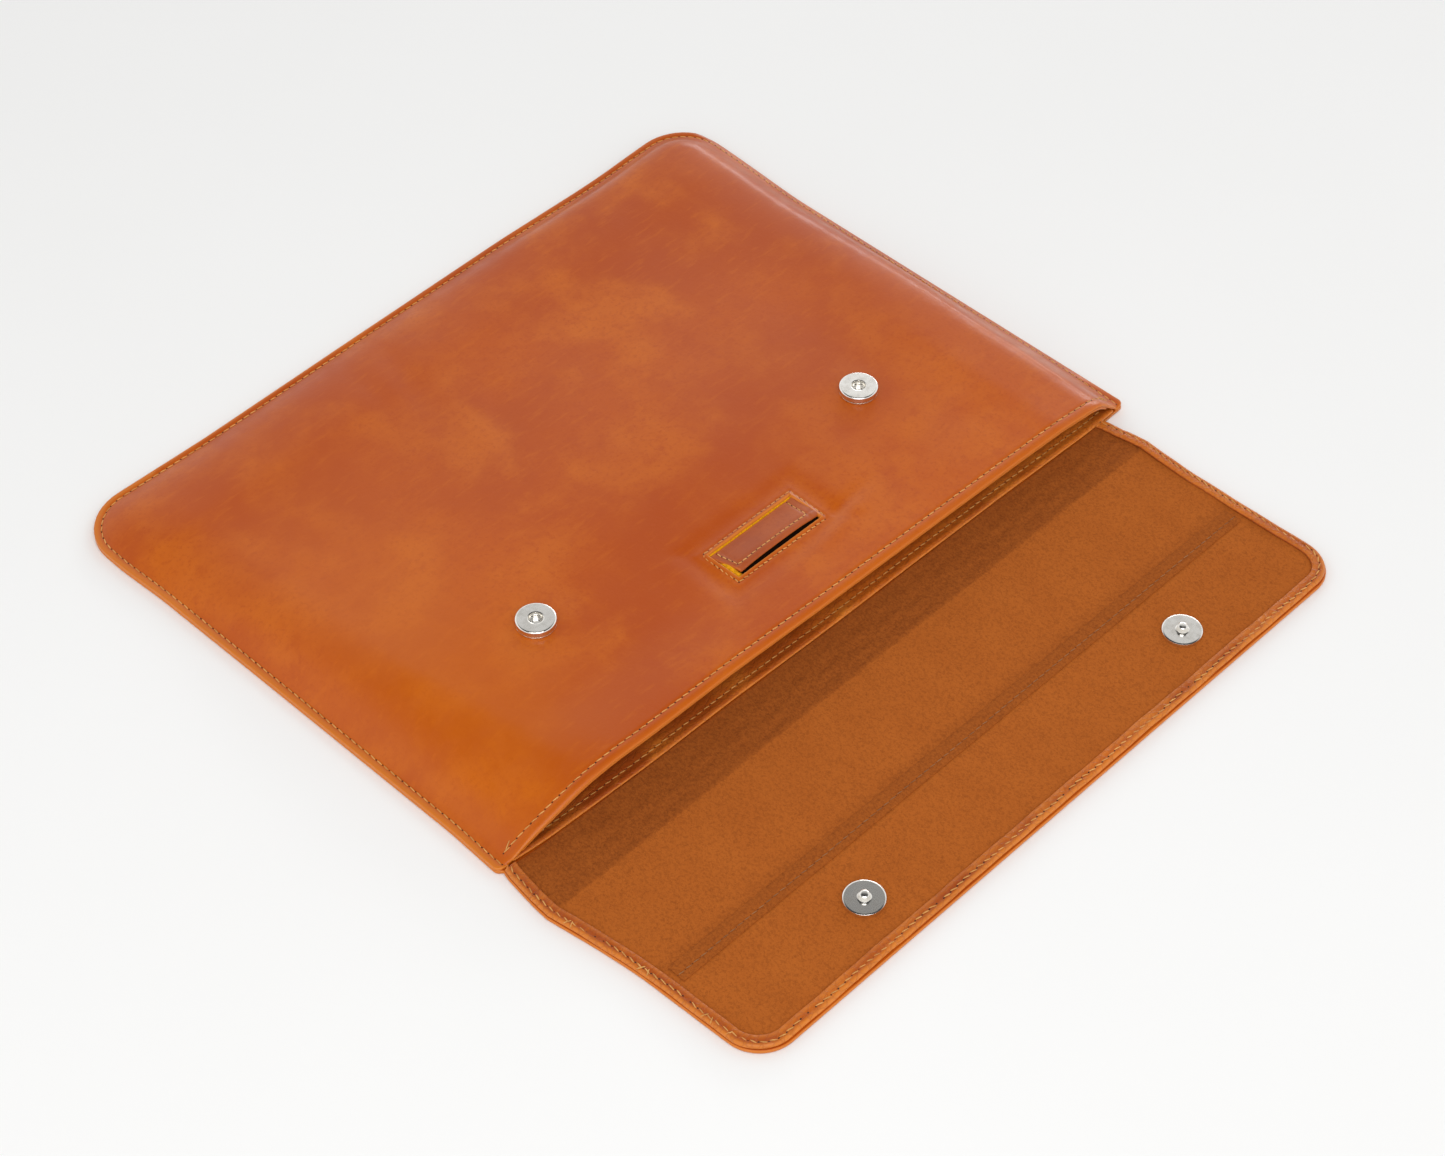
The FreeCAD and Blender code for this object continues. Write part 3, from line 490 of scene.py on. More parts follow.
# ------------------------------------------------------------------ mesh helpers
def add_piece(name, points, faces, materials, body=None, slot=None, painted=None, which=None):
    """One mesh piece. painted holds values per point; which holds a material per face."""
    mesh = bpy.data.meshes.new(name)
    points = np.asarray(points, float)
    mesh.from_pydata(points.tolist(), [], [tuple(int(i) for i in f) for f in faces])
    for material in materials:
        mesh.materials.append(material)
    mesh.polygons.foreach_set("use_smooth", [True] * len(mesh.polygons))
    if which is not None:
        mesh.polygons.foreach_set("material_index", np.asarray(which, np.int32))
    rest = mesh.attributes.new("rest", "FLOAT_VECTOR", "POINT")
    rest.data.foreach_set("vector", points.astype(np.float32).ravel())
    for key in ("rim", "shade", "painted_light"):
        values = (painted or {}).get(key)
        if values is None:
            values = np.zeros(len(points))
        layer = mesh.attributes.new(key, "FLOAT", "POINT")
        layer.data.foreach_set("value", np.asarray(values, np.float32))
    mesh.update()
    piece = bpy.data.objects.new(name, mesh)
    bpy.context.scene.collection.objects.link(piece)
    if body:
        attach(piece, body)
    return piece


def grid_faces(index):
    """Quads of an array of point numbers; counter-clockwise from above if columns run along
    +X and rows along +Y."""
    a, b, c, d = index[:-1, :-1], index[:-1, 1:], index[1:, 1:], index[1:, :-1]
    return np.stack([a, b, c, d], axis=-1).reshape(-1, 4)


def point_normals(points, faces):
    corners = points[faces]
    flat = np.cross(corners[:, 2] - corners[:, 0], corners[:, 3] - corners[:, 1])
    total = np.zeros_like(points)
    for k in range(4):
        np.add.at(total, faces[:, k], flat)
    return total / np.maximum(np.linalg.norm(total, axis=1, keepdims=True), 1e-12)


def open_edges(faces):
    """Edges that only one face has, in that face's direction."""
    edges = np.concatenate([faces[:, [k, (k + 1) % 4]] for k in range(4)])
    pairs = {(a, b) for a, b in edges.tolist()}
    return [(a, b) for a, b in edges.tolist() if (b, a) not in pairs]


def leaf(name, top, faces, thickness, materials, bulge=RIM, painted=None, **kept):
    """A closed sheet made from its top surface: an underside at thickness and a rounded
    rim that stands out by bulge."""
    count = len(top)
    normals = point_normals(top, faces)
    thickness = np.broadcast_to(np.asarray(thickness, float), (count,))
    under = top - normals * thickness[:, None]
    edges = open_edges(faces)
    outward = np.zeros_like(top)
    for a, b in edges:
        side = np.cross(top[b] - top[a], normals[a] + normals[b])
        side /= max(np.linalg.norm(side), 1e-12)
        outward[a] += side
        outward[b] += side
    rim_points = sorted({v for edge in edges for v in edge})
    outward /= np.maximum(np.linalg.norm(outward, axis=1, keepdims=True), 1e-12)
    points, chains, rims = [top, under], {}, []
    next_point = 2 * count
    for v in rim_points:
        middle, half = (top[v] + under[v]) / 2, (top[v] - under[v]) / 2
        angles = [math.radians(a) for a in (58, 24, -24, -58)]
        bulged = [middle + outward[v] * bulge * math.cos(a) ** 0.6 + half * math.sin(a)
                  for a in angles]
        chains[v] = [v, *range(next_point, next_point + len(bulged)), v + count]
        next_point += len(bulged)
        rims += bulged
    points.append(np.array(rims))
    walls = []
    for a, b in edges:
        walls += [(chains[b][k], chains[a][k], chains[a][k + 1], chains[b][k + 1])
                  for k in range(len(chains[a]) - 1)]
    rim = np.zeros(next_point)
    rim[2 * count:] = 1
    rim[rim_points] = 0.4
    rim[[v + count for v in rim_points]] = 0.4
    values = {"rim": rim}
    for key, value in (painted or {}).items():
        edge_values = np.repeat(np.asarray(value)[rim_points], 4)
        both = np.concatenate([value, value, edge_values])
        values[key] = np.maximum(rim, both) if key == "rim" else both
    all_faces = np.concatenate([faces, faces[:, ::-1] + count, np.array(walls)])
    return add_piece(name, np.concatenate(points), all_faces, materials, painted=values, **kept)


def grid_leaf(name, ys, halves, us, height, thickness, materials, shape=None, shades=None,
              **kept):
    """A leaf whose rows lie at ys and reach from -half to half (or a pair of sides)."""
    rows = np.array([h if isinstance(h, tuple) else (-h, h) for h in halves])
    x = rows[:, :1] + (rows[:, 1:] - rows[:, :1]) * (np.asarray(us)[None, :] + 1) / 2
    y = np.repeat(np.asarray(ys)[:, None], len(us), axis=1)
    top = np.stack([x, y, height(x, y)], axis=-1).reshape(-1, 3)
    index = np.arange(len(top)).reshape(x.shape)
    painted = {key: fn(x, y).ravel() for key, fn in (shades or {}).items()}
    if shape:
        top = shape(top)
    faces = grid_faces(index)
    if ys[0] > ys[-1]:
        faces = faces[:, ::-1]
    return leaf(name, top, faces, thickness, materials, painted=painted, **kept)


def edge_spread(count, edge_share=0.06, edge_count=8):
    """Places from -1 to 1, closer together near both ends."""
    near = 1 - edge_share * (np.linspace(0, 1, edge_count, endpoint=False)) ** 1.4
    middle = np.linspace(-(1 - edge_share), 1 - edge_share, count)
    return np.concatenate([-near, middle, near[::-1]])


def round_rows(start, shoulder, radius, half, steps=14, inset=0.0, **spacing):
    """Rows from start to a rounded end past shoulder; half(y) is the half width there."""
    sign = 1 if shoulder > start else -1
    low, high = min(start, shoulder), max(start, shoulder)
    ys = ticks(low, high, **spacing)
    ys = ys if sign > 0 else ys[::-1]
    halves = [half(y) - inset for y in ys]
    for k in range(1, steps + 1):
        angle = math.pi / 2 * k / steps
        ys.append(shoulder + sign * (radius - inset) * math.sin(angle))
        halves.append(half(shoulder) - radius + (radius - inset) * math.cos(angle))
    return ys, halves


def lathe(profile, centre, steps=72):
    """Points and faces of a closed profile of (radius, height) turned about a Z axis."""
    angles = np.linspace(0, 2 * math.pi, steps, endpoint=False)
    points = np.array([[centre[0] + r * math.cos(a), centre[1] + r * math.sin(a), centre[2] + z]
                       for a in angles for r, z in profile])
    index = np.arange(len(points)).reshape(steps, len(profile))
    index = np.vstack([index, index[:1]])
    index = np.hstack([index, index[:, :1]])
    return points, grid_faces(index)[:, ::-1]


def sweep(path, inward, profile, painted_profile):
    """Points, faces and painted values of a closed (inward, height) profile along a path."""
    path, inward = np.asarray(path, float), np.asarray(inward, float)
    rows = []
    for w, z in profile:
        row = path + inward * w
        row[:, 2] = path[:, 2] + z
        rows.append(row)
    points = np.stack(rows, axis=1)
    count, around = points.shape[:2]
    index = np.arange(count * around).reshape(count, around)
    ring = np.hstack([index, index[:, :1]])
    faces = [tuple(f) for f in grid_faces(ring)]
    faces += [tuple(index[0]), tuple(index[-1][::-1])]
    return points.reshape(-1, 3), faces, np.tile(painted_profile, count)


# ------------------------------------------------------------------ thread
def along_path(path):
    """Arc length at each point of a path."""
    steps = np.linalg.norm(np.diff(path, axis=0), axis=1)
    return np.concatenate([[0], np.cumsum(steps)])


STITCH_RINGS = ((0.0, 0.35, -0.30), (0.18, 0.85, 0.05), (0.5, 1.0, 0.20), (0.82, 0.85, 0.05),
                (1.0, 0.35, -0.30))     # share of the length, of the radius, and height in radii


def add_stitch(points, faces, start, end, up, radius):
    """A short arched length of thread from start to end."""
    along = end - start
    side = np.cross(along, up)
    side /= max(np.linalg.norm(side), 1e-12)
    first, around = len(points), 6
    for share, width, height in STITCH_RINGS:
        middle = start + along * share + up * radius * height
        for k in range(around):
            angle = 2 * math.pi * k / around
            points.append(middle + (side * math.cos(angle) + up * math.sin(angle)) * radius * width)
    for ring in range(len(STITCH_RINGS) - 1):
        for k in range(around):
            a, b = first + ring * around + k, first + ring * around + (k + 1) % around
            faces.append((a, a + around, b + around, b))
    last = first + (len(STITCH_RINGS) - 1) * around
    faces.append(tuple(range(first, first + around)))
    faces.append(tuple(range(last + around - 1, last - 1, -1)))


def add_hole(points, faces, place, along, up, radius):
    """A needle hole: a flat lens pressed into the leather, dark with painted shade."""
    side = np.cross(along, up)
    first, around = len(points), 8
    for k in range(around):
        angle = 2 * math.pi * k / around
        points.append(place + (along * math.cos(angle) * 1.3 + side * math.sin(angle)) * radius)
    points.append(place + up * radius * 0.22)
    points.append(place - up * radius * 0.5)
    for k in range(around):
        a, b = first + k, first + (k + 1) % around
        faces.append((b, a, first + around))
        faces.append((a, b, first + around + 1))


def stitch_row(name, path, ups, pitch=PITCH, radius=0.29 * MM, slant=0.10, skip=(), extra=(),
               holes=True, seed=0, thread=None, **kept):
    """A row of separate stitches along a path of places with upward directions."""
    path, ups = np.asarray(path, float), np.asarray(ups, float)
    length = along_path(path)
    chance = np.random.default_rng(seed)
    count = max(1, round(length[-1] / pitch))
    knots = np.linspace(0, length[-1], count + 1)
    place = np.stack([np.interp(knots, length, path[:, k]) for k in range(3)], axis=1)
    up = np.stack([np.interp(knots, length, ups[:, k]) for k in range(3)], axis=1)
    up /= np.linalg.norm(up, axis=1, keepdims=True)
    points, faces = [], []
    for k in range(count):
        if k in skip:
            continue
        a, b = place[k], place[k + 1]
        along = b - a
        across = np.cross(along, up[k])
        gap = 0.07 + 0.03 * chance.random()
        tilt = across * slant * (0.7 + 0.6 * chance.random())
        add_stitch(points, faces, a + along * gap - tilt / 2, b - along * gap + tilt / 2,
                   (up[k] + up[k + 1]) / 2, radius * (0.92 + 0.16 * chance.random()))
    for start, end, rise in extra:
        add_stitch(points, faces, np.array(start), np.array(end), np.array(rise), radius)
    threads = len(faces)
    if holes:
        for k in range(count + 1):
            step = place[min(k + 1, count)] - place[max(k - 1, 0)]
            step /= np.linalg.norm(step)
            add_hole(points, faces, place[k] + up[k] * 0.08 * MM, step, up[k],
                     radius * (0.95 + 0.3 * chance.random()))
    which = [0] * threads + [1] * (len(faces) - threads)
    return add_piece(name, points, faces, (thread or THREAD, HOLE_SHADE), which=which,
                     slot="waxed_thread", **kept)


def on_surface(places, height, shape=None):
    """Points and normals of places (x, y) on a height field."""
    places = np.asarray(places, float)
    x, y, e = places[:, 0], places[:, 1], 0.2 * MM
    z = height(x, y)
    normals = np.stack([(height(x - e, y) - height(x + e, y)) / (2 * e),
                        (height(x, y - e) - height(x, y + e)) / (2 * e), np.ones(len(x))], axis=1)
    normals /= np.linalg.norm(normals, axis=1, keepdims=True)
    points = np.stack([x, y, z], axis=1)
    return (shape(points) if shape else points), normals


def dense(corners, step=0.5 * MM):
    """Points about step apart along straight runs between corners."""
    out = [np.array(corners[0], float)]
    for a, b in zip(corners, corners[1:]):
        a, b = np.array(a, float), np.array(b, float)
        count = max(1, round(np.linalg.norm(b - a) / step))
        out += [a + (b - a) * k / count for k in range(1, count + 1)]
    return np.array(out)


# ------------------------------------------------------------------ front panel
def body_ring(inset, sides, tops, steps=12):
    """The body's outline moved inwards, from the left mouth corner to the right one."""
    edge, radius = HALF - inset, CORNER - inset
    left = [(-edge, y) for y in sides]
    for k in range(1, steps + 1):
        angle = math.pi / 2 * k / steps
        left.append((-(HALF - CORNER) - radius * math.cos(angle),
                     CLOSED - CORNER + radius * math.sin(angle)))
    flat = [(x, CLOSED - inset) for x in tops[1:-1]]
    return left + flat + [(-x, y) for x, y in reversed(left)]


def make_front():
    """Front leather with its window, on rings round the edge and a grid inside them."""
    cx, cy, half_x, half_y = WINDOW
    sides = ticks(MOUTH, CLOSED - CORNER, 2.2 * MM,
                  fine=[(MOUTH, MOUTH + 8 * MM, 0.5 * MM),
                        (cy - half_y - 5 * MM, cy + half_y + 5 * MM, 0.8 * MM)],
                  stops=(cy - half_y, cy + half_y))
    inner = HALF - RING_DEPTH
    columns = ticks(-inner, inner, 2.4 * MM,
                    fine=[(cx - half_x - 5 * MM, cx + half_x + 5 * MM, 0.9 * MM)],
                    stops=(cx - half_x, cx + half_x))
    us = np.array(columns) / inner
    tops = us * (HALF - CORNER)
    insets = [0.5 * MM] + ticks(0.9 * MM, RING_DEPTH, 1.0 * MM,
                                fine=[(2.4 * MM, 6.4 * MM, 0.4 * MM)])
    rings = np.array([body_ring(inset, sides, tops) for inset in insets])
    ring_count, around = rings.shape[:2]
    ring_index = np.arange(ring_count * around).reshape(ring_count, around)
    last, rows = rings[-1], len(sides) + 12
    index = np.zeros((rows, len(us)), int)
    index[:, 0] = ring_index[-1][:rows]
    index[:, -1] = ring_index[-1][::-1][:rows]
    index[-1] = ring_index[-1][rows - 1:rows - 1 + len(us)]
    inside_x = last[:rows - 1, 0][:, None] * -us[None, 1:-1]
    inside_y = np.repeat(last[:rows - 1, 1][:, None], len(us) - 2, axis=1)
    index[:-1, 1:-1] = ring_count * around + np.arange(inside_x.size).reshape(inside_x.shape)
    flat = np.concatenate([rings.reshape(-1, 2),
                           np.stack([inside_x.ravel(), inside_y.ravel()], axis=1)])
    faces = np.concatenate([grid_faces(ring_index)[:, ::-1], grid_faces(index)])
    middle = flat[faces].mean(axis=1)
    keep = (np.abs(middle[:, 0] - cx) > half_x) | (np.abs(middle[:, 1] - cy) > half_y)
    x, y = flat[:, 0], flat[:, 1]
    inset = inset_of(x, y)
    shade = 0.55 * dent(x, y, (60 * MM, 10 * MM), 10, 120, 45)
    shade += 0.35 * dent(x, y, (-90 * MM, 150 * MM), 30, 70, 50)
    # painted light: the rolled lip at the mouth, turned to face the camera, and a stretch of the
    # left slope near the mouth
    painted_light = 0.9 * np.exp(-np.clip(y - MOUTH, 0, None) / (2.2 * MM))
    painted_light = np.maximum(painted_light, 0.5 * dent(x, y, (-150 * MM, 0), 80, 130, 45))
    # lighter burnish along the outer margin, wider at the left end; on the right side it is kept
    # faint as painted shade, where that edge lies in shadow
    wide = np.where(x < -150 * MM, 3.0 * MM, 1.3 * MM)
    rim = smooth(1.3 - inset / wide) * np.where(x > 0, 0.35, 0.8)
    used, compact = np.unique(faces[keep], return_inverse=True)
    top = np.stack([x, y, front_height(x, y)], axis=1)[used]
    piece = leaf("front_leather", settle(top), compact.reshape(-1, 4), LEATHER, (BODY_LEATHER,),
                 bulge=0.5 * MM, body="sleeve", slot="tan_leather",
                 painted={"shade": np.clip(shade, 0, 1)[used], "painted_light": painted_light[used],
                          "rim": rim[used]})
    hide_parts("front_panel")

    row = np.array(body_ring(SEAM_INSET, sides, tops, 12))
    path, ups = on_surface(row[:, :2], front_height, settle)
    seam = stitch_row("perimeter_stitches", path[3:-3], ups[3:-3], body="sleeve", seed=1)
    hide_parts("perimeter_stitching")
    reach = HALF - 7 * MM
    mouth = dense([(-reach, MOUTH + MOUTH_INSET), (reach, MOUTH + MOUTH_INSET)], 1 * MM)
    path, ups = on_surface(mouth, front_height, settle)
    extra = []
    for side in (-1, 1):     # the row is locked off at both ends
        start = (side * (reach - 1 * MM), MOUTH + MOUTH_INSET)
        end = (side * (reach - 5 * MM), MOUTH + MOUTH_INSET + 2.2 * MM)
        ends, rise = on_surface([start, end], front_height, settle)
        extra.append((ends[0], ends[1], rise[0]))
    row = stitch_row("mouth_stitches", path, ups, body="sleeve", seed=2, extra=extra)
    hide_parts("front_mouth_stitching")
    return sides


def under_front(x, y):
    """Underside of the front leather."""
    return front_height(x, y) - LEATHER - 0.05 * MM


def make_front_inside():
    """Leather facing and suede inside the front panel."""
    half = HALF - 13 * MM
    ys = ticks(MOUTH + 0.8 * MM, FACING_END, 1.5 * MM)
    facing = grid_leaf("front_facing", ys, [half] * len(ys), edge_spread(90, 0.12, 12),
                       lambda x, y: under_front(x, y) - 0.35 * MM * smooth(np.abs(x) / half),
                       FRONT_FACING_HI.z - FRONT_FACING_LO.z, (BODY_LEATHER,), shape=settle,
                       # painted shade: the facing lies inside the mouth, under the front leather
                       shades={"shade": even(0.8)},
                       body="sleeve", slot="tan_leather")
    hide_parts("front_mouth_facing")
    drop = 1.1 * MM
    half, radius = FRONT_LINING_HI.x, 12 * MM
    ys, halves = round_rows(FACING_END + 0.5 * MM, FRONT_LINING_HI.y - radius, radius,
                            lambda y: half, step=4 * MM)
    lining = grid_leaf("front_suede", ys, halves, edge_spread(70),
                       lambda x, y: under_front(x, y) - drop - flat_window(x, y),
                       FRONT_LINING_HI.z - FRONT_LINING_LO.z, (SUEDE,), shape=settle,
                       body="sleeve", slot="tan_suede",
                       # painted shade inside the pocket
                       shades={"shade": even(0.6)})
    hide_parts("front_lining")


def flat_window(x, y):
    """Keeps the lining clear of the keeper's backing."""
    cx, cy, half_x, half_y = WINDOW
    away = np.maximum(np.abs(x - cx) - half_x, np.abs(y - cy) - half_y)
    return 0.9 * MM * smooth(1 - (away - 3 * MM) / (12 * MM))


# ------------------------------------------------------------------ back panel and flap
def flap_half(y):
    ys, halves = zip(*sorted(FLAP_HALVES))
    return float(np.interp(y, ys, halves))


def back_half(y):
    """Half width of the back leather: the body, then the spine."""
    return HALF if y >= MOUTH + 0.4 * MM else flap_half(min(y, MOUTH))


def folded(points):
    """Back leather: the body's own drift above the mouth, the flap's lean below it."""
    points = np.array(points, float)
    below = points[:, 1] < MOUTH + 0.3 * MM
    return np.where(below[:, None], lean(points), settle(points))


def make_leather():
    """Back panel with half of the spine, and the flap with the other half."""
    fold_rows = [(MOUTH, MOUTH + 4 * MM, 0.4 * MM), (MID_SPINE, MOUTH, 0.7 * MM)]
    ys, halves = round_rows(MID_SPINE, CLOSED - CORNER, CORNER,
                            lambda y: back_half(y) - RIM, step=6 * MM, fine=fold_rows)

    def back_shade(x, y):
        return ease(MOUTH - y, 2) * 0.5

    back = grid_leaf("back_leather", ys, halves, edge_spread(70, 0.05, 8), even(LEATHER),
                     LEATHER, (BODY_LEATHER,), shape=folded, slot="tan_leather",
                     shades={"shade": back_shade})
    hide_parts("back_panel", "spine_leather")
    bend_at_mouth(back)

    bend_rows = [(CREASE - BEND, MID_SPINE, 0.7 * MM)]
    ys, halves = round_rows(MID_SPINE, TIP + FLAP_CORNER, FLAP_CORNER,
                            lambda y: flap_half(y) - 0.5 * MM, step=5 * MM, fine=bend_rows)
    flap = grid_leaf("flap_leather_sheet", ys, halves, edge_spread(70, 0.05, 8),
                     even(LEATHER), LEATHER, (BODY_LEATHER,), bulge=0.5 * MM, shape=lean,
                     slot="tan_leather")
    2 * flap_half(CREASE)
    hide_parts("flap_leather")
    bend_at_crease(flap)


def bend_at_mouth(piece):
    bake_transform(piece)


def bend_at_crease(piece):
    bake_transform(piece)


def spine_shade(x, y):
    """Darker suede between the mouth and the second fold, and a darker band beside the tape."""
    dark = ease(y - CREASE + 1.5 * MM, 1.2)
    tape = bell(y - (TAPE_LO.y + TAPE_HI.y) / 2 - 6 * MM, 3)
    return np.clip(0.75 * dark + 0.3 * tape, 0, 1)


def make_suede():
    """Suede of the pocket's back, of the spine and of the flap."""
    half = BACK_LINING_HI.x
    ys, halves = round_rows(FACING_END + 0.6 * MM, BACK_LINING_HI.y - CORNER, CORNER,
                            lambda y: half, step=6 * MM)
    back = grid_leaf("pocket_suede", ys, halves, edge_spread(60), even(BACK_LINING_HI.z),
                     BACK_LINING_HI.z - BACK_LINING_LO.z - 0.02 * MM, (SUEDE,), bulge=0.4 * MM,
                     shape=settle, body="sleeve", slot="tan_suede",
                     # painted shade inside the pocket
                     shades={"shade": even(0.5)})
    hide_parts("back_lining")

    thick = SUEDE_TOP - LEATHER - 0.3 * MM
    columns = edge_spread(150, 0.03, 4)
    ys = ticks(MID_SPINE, MOUTH - 0.6 * MM, 0.7 * MM)
    near = grid_leaf("spine_suede", ys, [flap_half(y) - 1.9 * MM for y in ys], columns,
                     suede_height, thick, (SUEDE,), bulge=0.2 * MM, shape=lean,
                     slot="tan_suede", shades={"shade": spine_shade})
    2 * flap_half(MOUTH)
    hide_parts("spine_lining")
    bend_at_mouth(near)
    ys, halves = round_rows(MID_SPINE, TIP + FLAP_CORNER, FLAP_CORNER, flap_half,
                            inset=1.9 * MM, step=2.5 * MM,
                            fine=[(CREASE - 6 * MM, MID_SPINE, 0.6 * MM)])
    far = grid_leaf("flap_suede", ys, halves, columns, suede_height, thick, (SUEDE,),
                    bulge=0.2 * MM, shape=lean, slot="tan_suede", shades={"shade": spine_shade})
    2 * flap_half(CREASE)
    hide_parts("flap_lining")
    bend_at_crease(far)


def make_back_facing():
    """Facing inside the mouth on the back panel: its lip is a rounded, raised edge."""
    ys = ticks(MOUTH + 0.2 * MM, FACING_END, 1.2 * MM, fine=[(MOUTH, MOUTH + 4 * MM, 0.4 * MM)])

    def height(x, y):
        lip = 0.6 * MM * bell(y - MOUTH - 1.4 * MM, 1.6)
        groove = 0.25 * MM * bell(y - MOUTH - MOUTH_INSET, 0.8)
        ends = 0.3 * MM * ease(np.abs(x) - FACING_HALF + 14 * MM, 14)
        return FACING_TOP + lip - groove + ends * np.exp(-(y - MOUTH) / (8 * MM)) + waves(
            x, y, ((0.15 * MM, 0.12, 0.5, 0.0),))

    facing = grid_leaf("back_facing", ys, [FACING_HALF] * len(ys), edge_spread(90), height,
                       FACING_TOP - LEATHER - 0.05 * MM, (BORDER_LEATHER,), shape=settle,
                       body="sleeve", slot="tan_leather",
                       # painted shade, deepening away from the mouth into the pocket
                       shades={"shade": lambda x, y: 0.35 * ease(y - MOUTH, 16)})
    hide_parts("back_mouth_facing")
    reach = FACING_HALF - 4 * MM
    path, ups = on_surface(dense([(-reach, MOUTH + MOUTH_INSET), (reach, MOUTH + MOUTH_INSET)]),
                           height, settle)
    row = stitch_row("back_mouth_stitches", path, ups, body="sleeve", seed=3)
    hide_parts("back_mouth_stitching")


# ------------------------------------------------------------------ turned border
# the border's section: (inwards from the edge, height) in millimetres, and how much lighter
# edge colour it gets, a burnish that on the rounded outer edge and the crests is painted highlight
BORDER_SECTION = (
    (1.6, 1.85, 0.6), (0.75, 1.9, 0.8), (0.48, 2.4, 1.0), (0.55, 3.0, 1.0), (0.85, 3.5, 1.0),
    (1.40, 3.80, 0.8), (2.0, 3.95, 0.3), (2.55, 3.76, 0.0), (3.1, 3.76, 0.0), (3.8, 3.98, 0.0),
    (4.8, 4.00, 0.3), (5.7, 3.94, 0.5), (6.15, 3.72, 0.2), (6.35, 3.30, 0.0), (6.3, 2.86, 0.0),
    (5.4, 2.86, 0.2), (1.9, 2.86, 0.2),
)


def flap_path(start):
    """Outline of the flap from the left, round the tip, to the right, with the inward
    directions. start is where the two legs begin."""
    shoulder = TIP + FLAP_CORNER
    ys = ticks(shoulder, start, 1.6 * MM, fine=[(CREASE - BEND, start, 0.6 * MM)])[::-1]
    leg = [(-flap_half(y), y) for y in ys]
    inward = [(1.0, 0.0)] * len(leg)
    arc_x = flap_half(shoulder) - FLAP_CORNER
    for k in range(1, 19):
        angle = math.pi / 2 * k / 18
        leg.append((-arc_x - FLAP_CORNER * math.cos(angle),
                    shoulder - FLAP_CORNER * math.sin(angle)))
        inward.append((math.cos(angle), math.sin(angle)))
    flat = ticks(-arc_x, arc_x, 2.5 * MM)[1:-1]
    places = leg + [(x, TIP) for x in flat] + [(-x, y) for x, y in reversed(leg)]
    ways = inward + [(0.0, 1.0)] * len(flat) + [(-a, b) for a, b in reversed(inward)]
    return np.array(places), np.array(ways)


def border_surface(places, ways, inset):
    """Points on top of the border at a distance from the flap's edge."""
    heights = [(w, z) for w, z, _ in BORDER_SECTION[2:14]]
    z = np.interp(inset / MM, *zip(*heights)) * MM
    flat = places + ways * inset
    return np.column_stack([flat, np.full(len(flat), z)])


def swell(arc):
    """The hand-turned border is a little wider and narrower along its length."""
    return 0.20 * MM * np.sin(arc / (9 * MM)) + 0.16 * MM * np.sin(arc / (3.7 * MM) + 1.0)


def make_border_strip(name, places, ways):
    profile = [(w * MM, z * MM) for w, z, _ in BORDER_SECTION]
    burnish_and_highlight = [b for _, _, b in BORDER_SECTION]
    arc = along_path(places)
    edge = np.column_stack([places + ways * swell(arc)[:, None] * 0.5, np.zeros(len(places))])
    edge[:, 2] += 0.12 * MM * np.sin(arc / (13 * MM))
    ways = np.column_stack([ways, np.zeros(len(ways))])
    points, faces, rim = sweep(edge, ways, profile, burnish_and_highlight)
    # painted shade in the groove along the border's inner edge
    inner = np.array([w > 6.28 for w, _, _ in BORDER_SECTION], float)
    return add_piece(name, lean(points), faces, (BORDER_LEATHER,), slot="tan_leather",
                     painted={"rim": rim * 0.9, "shade": np.tile(inner, len(places)) * 0.8})


def make_border():
    """Leather turned over the edge of the spine and flap, with its stitches."""
    places, ways = flap_path(MID_SPINE)
    flap = make_border_strip("flap_edge", places, ways)
    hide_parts("flap_border")
    bend_at_crease(flap)
    row = border_surface(places, ways, BORDER_INSET)
    wander = 0.35 * MM * np.sin(along_path(places) / (5.3 * MM))
    row[:, :2] += ways * wander[:, None]
    extra = []
    length = along_path(row)
    for share, tilt in ((0.031, 1), (0.036, -1), (0.094, 1), (0.101, -1), (0.152, 1),
                        (0.157, -1), (0.172, 1)):
        k = int(np.searchsorted(length, share * length[-1]))
        along = np.append(row[k + 1, :2] - row[k, :2], 0)
        along /= np.linalg.norm(along)
        way = np.append(ways[k], 0)
        middle = row[k] + [0, 0, 0.05 * MM]
        reach = way * 2.0 * MM + along * tilt * 1.0 * MM
        extra.append((middle - reach, middle + reach * 0.7, (0, 0, 1.0)))
    skip = {7, 8, 19, 33, 34, 52, 71, 90, 91, 118}
    stitches = stitch_row("flap_edge_stitches", lean(row), np.tile((0, 0, 1.0), (len(row), 1)),
                          slant=0.22, extra=lean_ends(extra), skip=skip, seed=4)
    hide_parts("flap_border_stitching")
    bend_at_crease(stitches)

    for side, sign in (("left", -1), ("right", 1)):
        ys = ticks(MID_SPINE, MOUTH - 0.8 * MM, 0.6 * MM)
        if sign < 0:
            ys = ys[::-1]
        near = np.array([(sign * flap_half(y), y) for y in ys])
        ways = np.tile((-sign * 1.0, 0.0), (len(near), 1))
        strip = make_border_strip(f"{side}_spine_edge", near, ways)
        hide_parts(f"{side}_spine_border")
        bend_at_mouth(strip)
        row = border_surface(near, ways, BORDER_INSET)
        stitches = stitch_row(f"{side}_spine_stitches", lean(row),
                              np.tile((0, 0, 1.0), (len(row), 1)), slant=0.22, seed=5)
        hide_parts(f"{side}_spine_stitching")
        bend_at_mouth(stitches)


def lean_ends(extra):
    """The same extra stitches, moved with the flap's lean."""
    moved = []
    for start, end, rise in extra:
        a, b = lean(np.array([start, end]))
        moved.append((a, b, rise))
    return moved


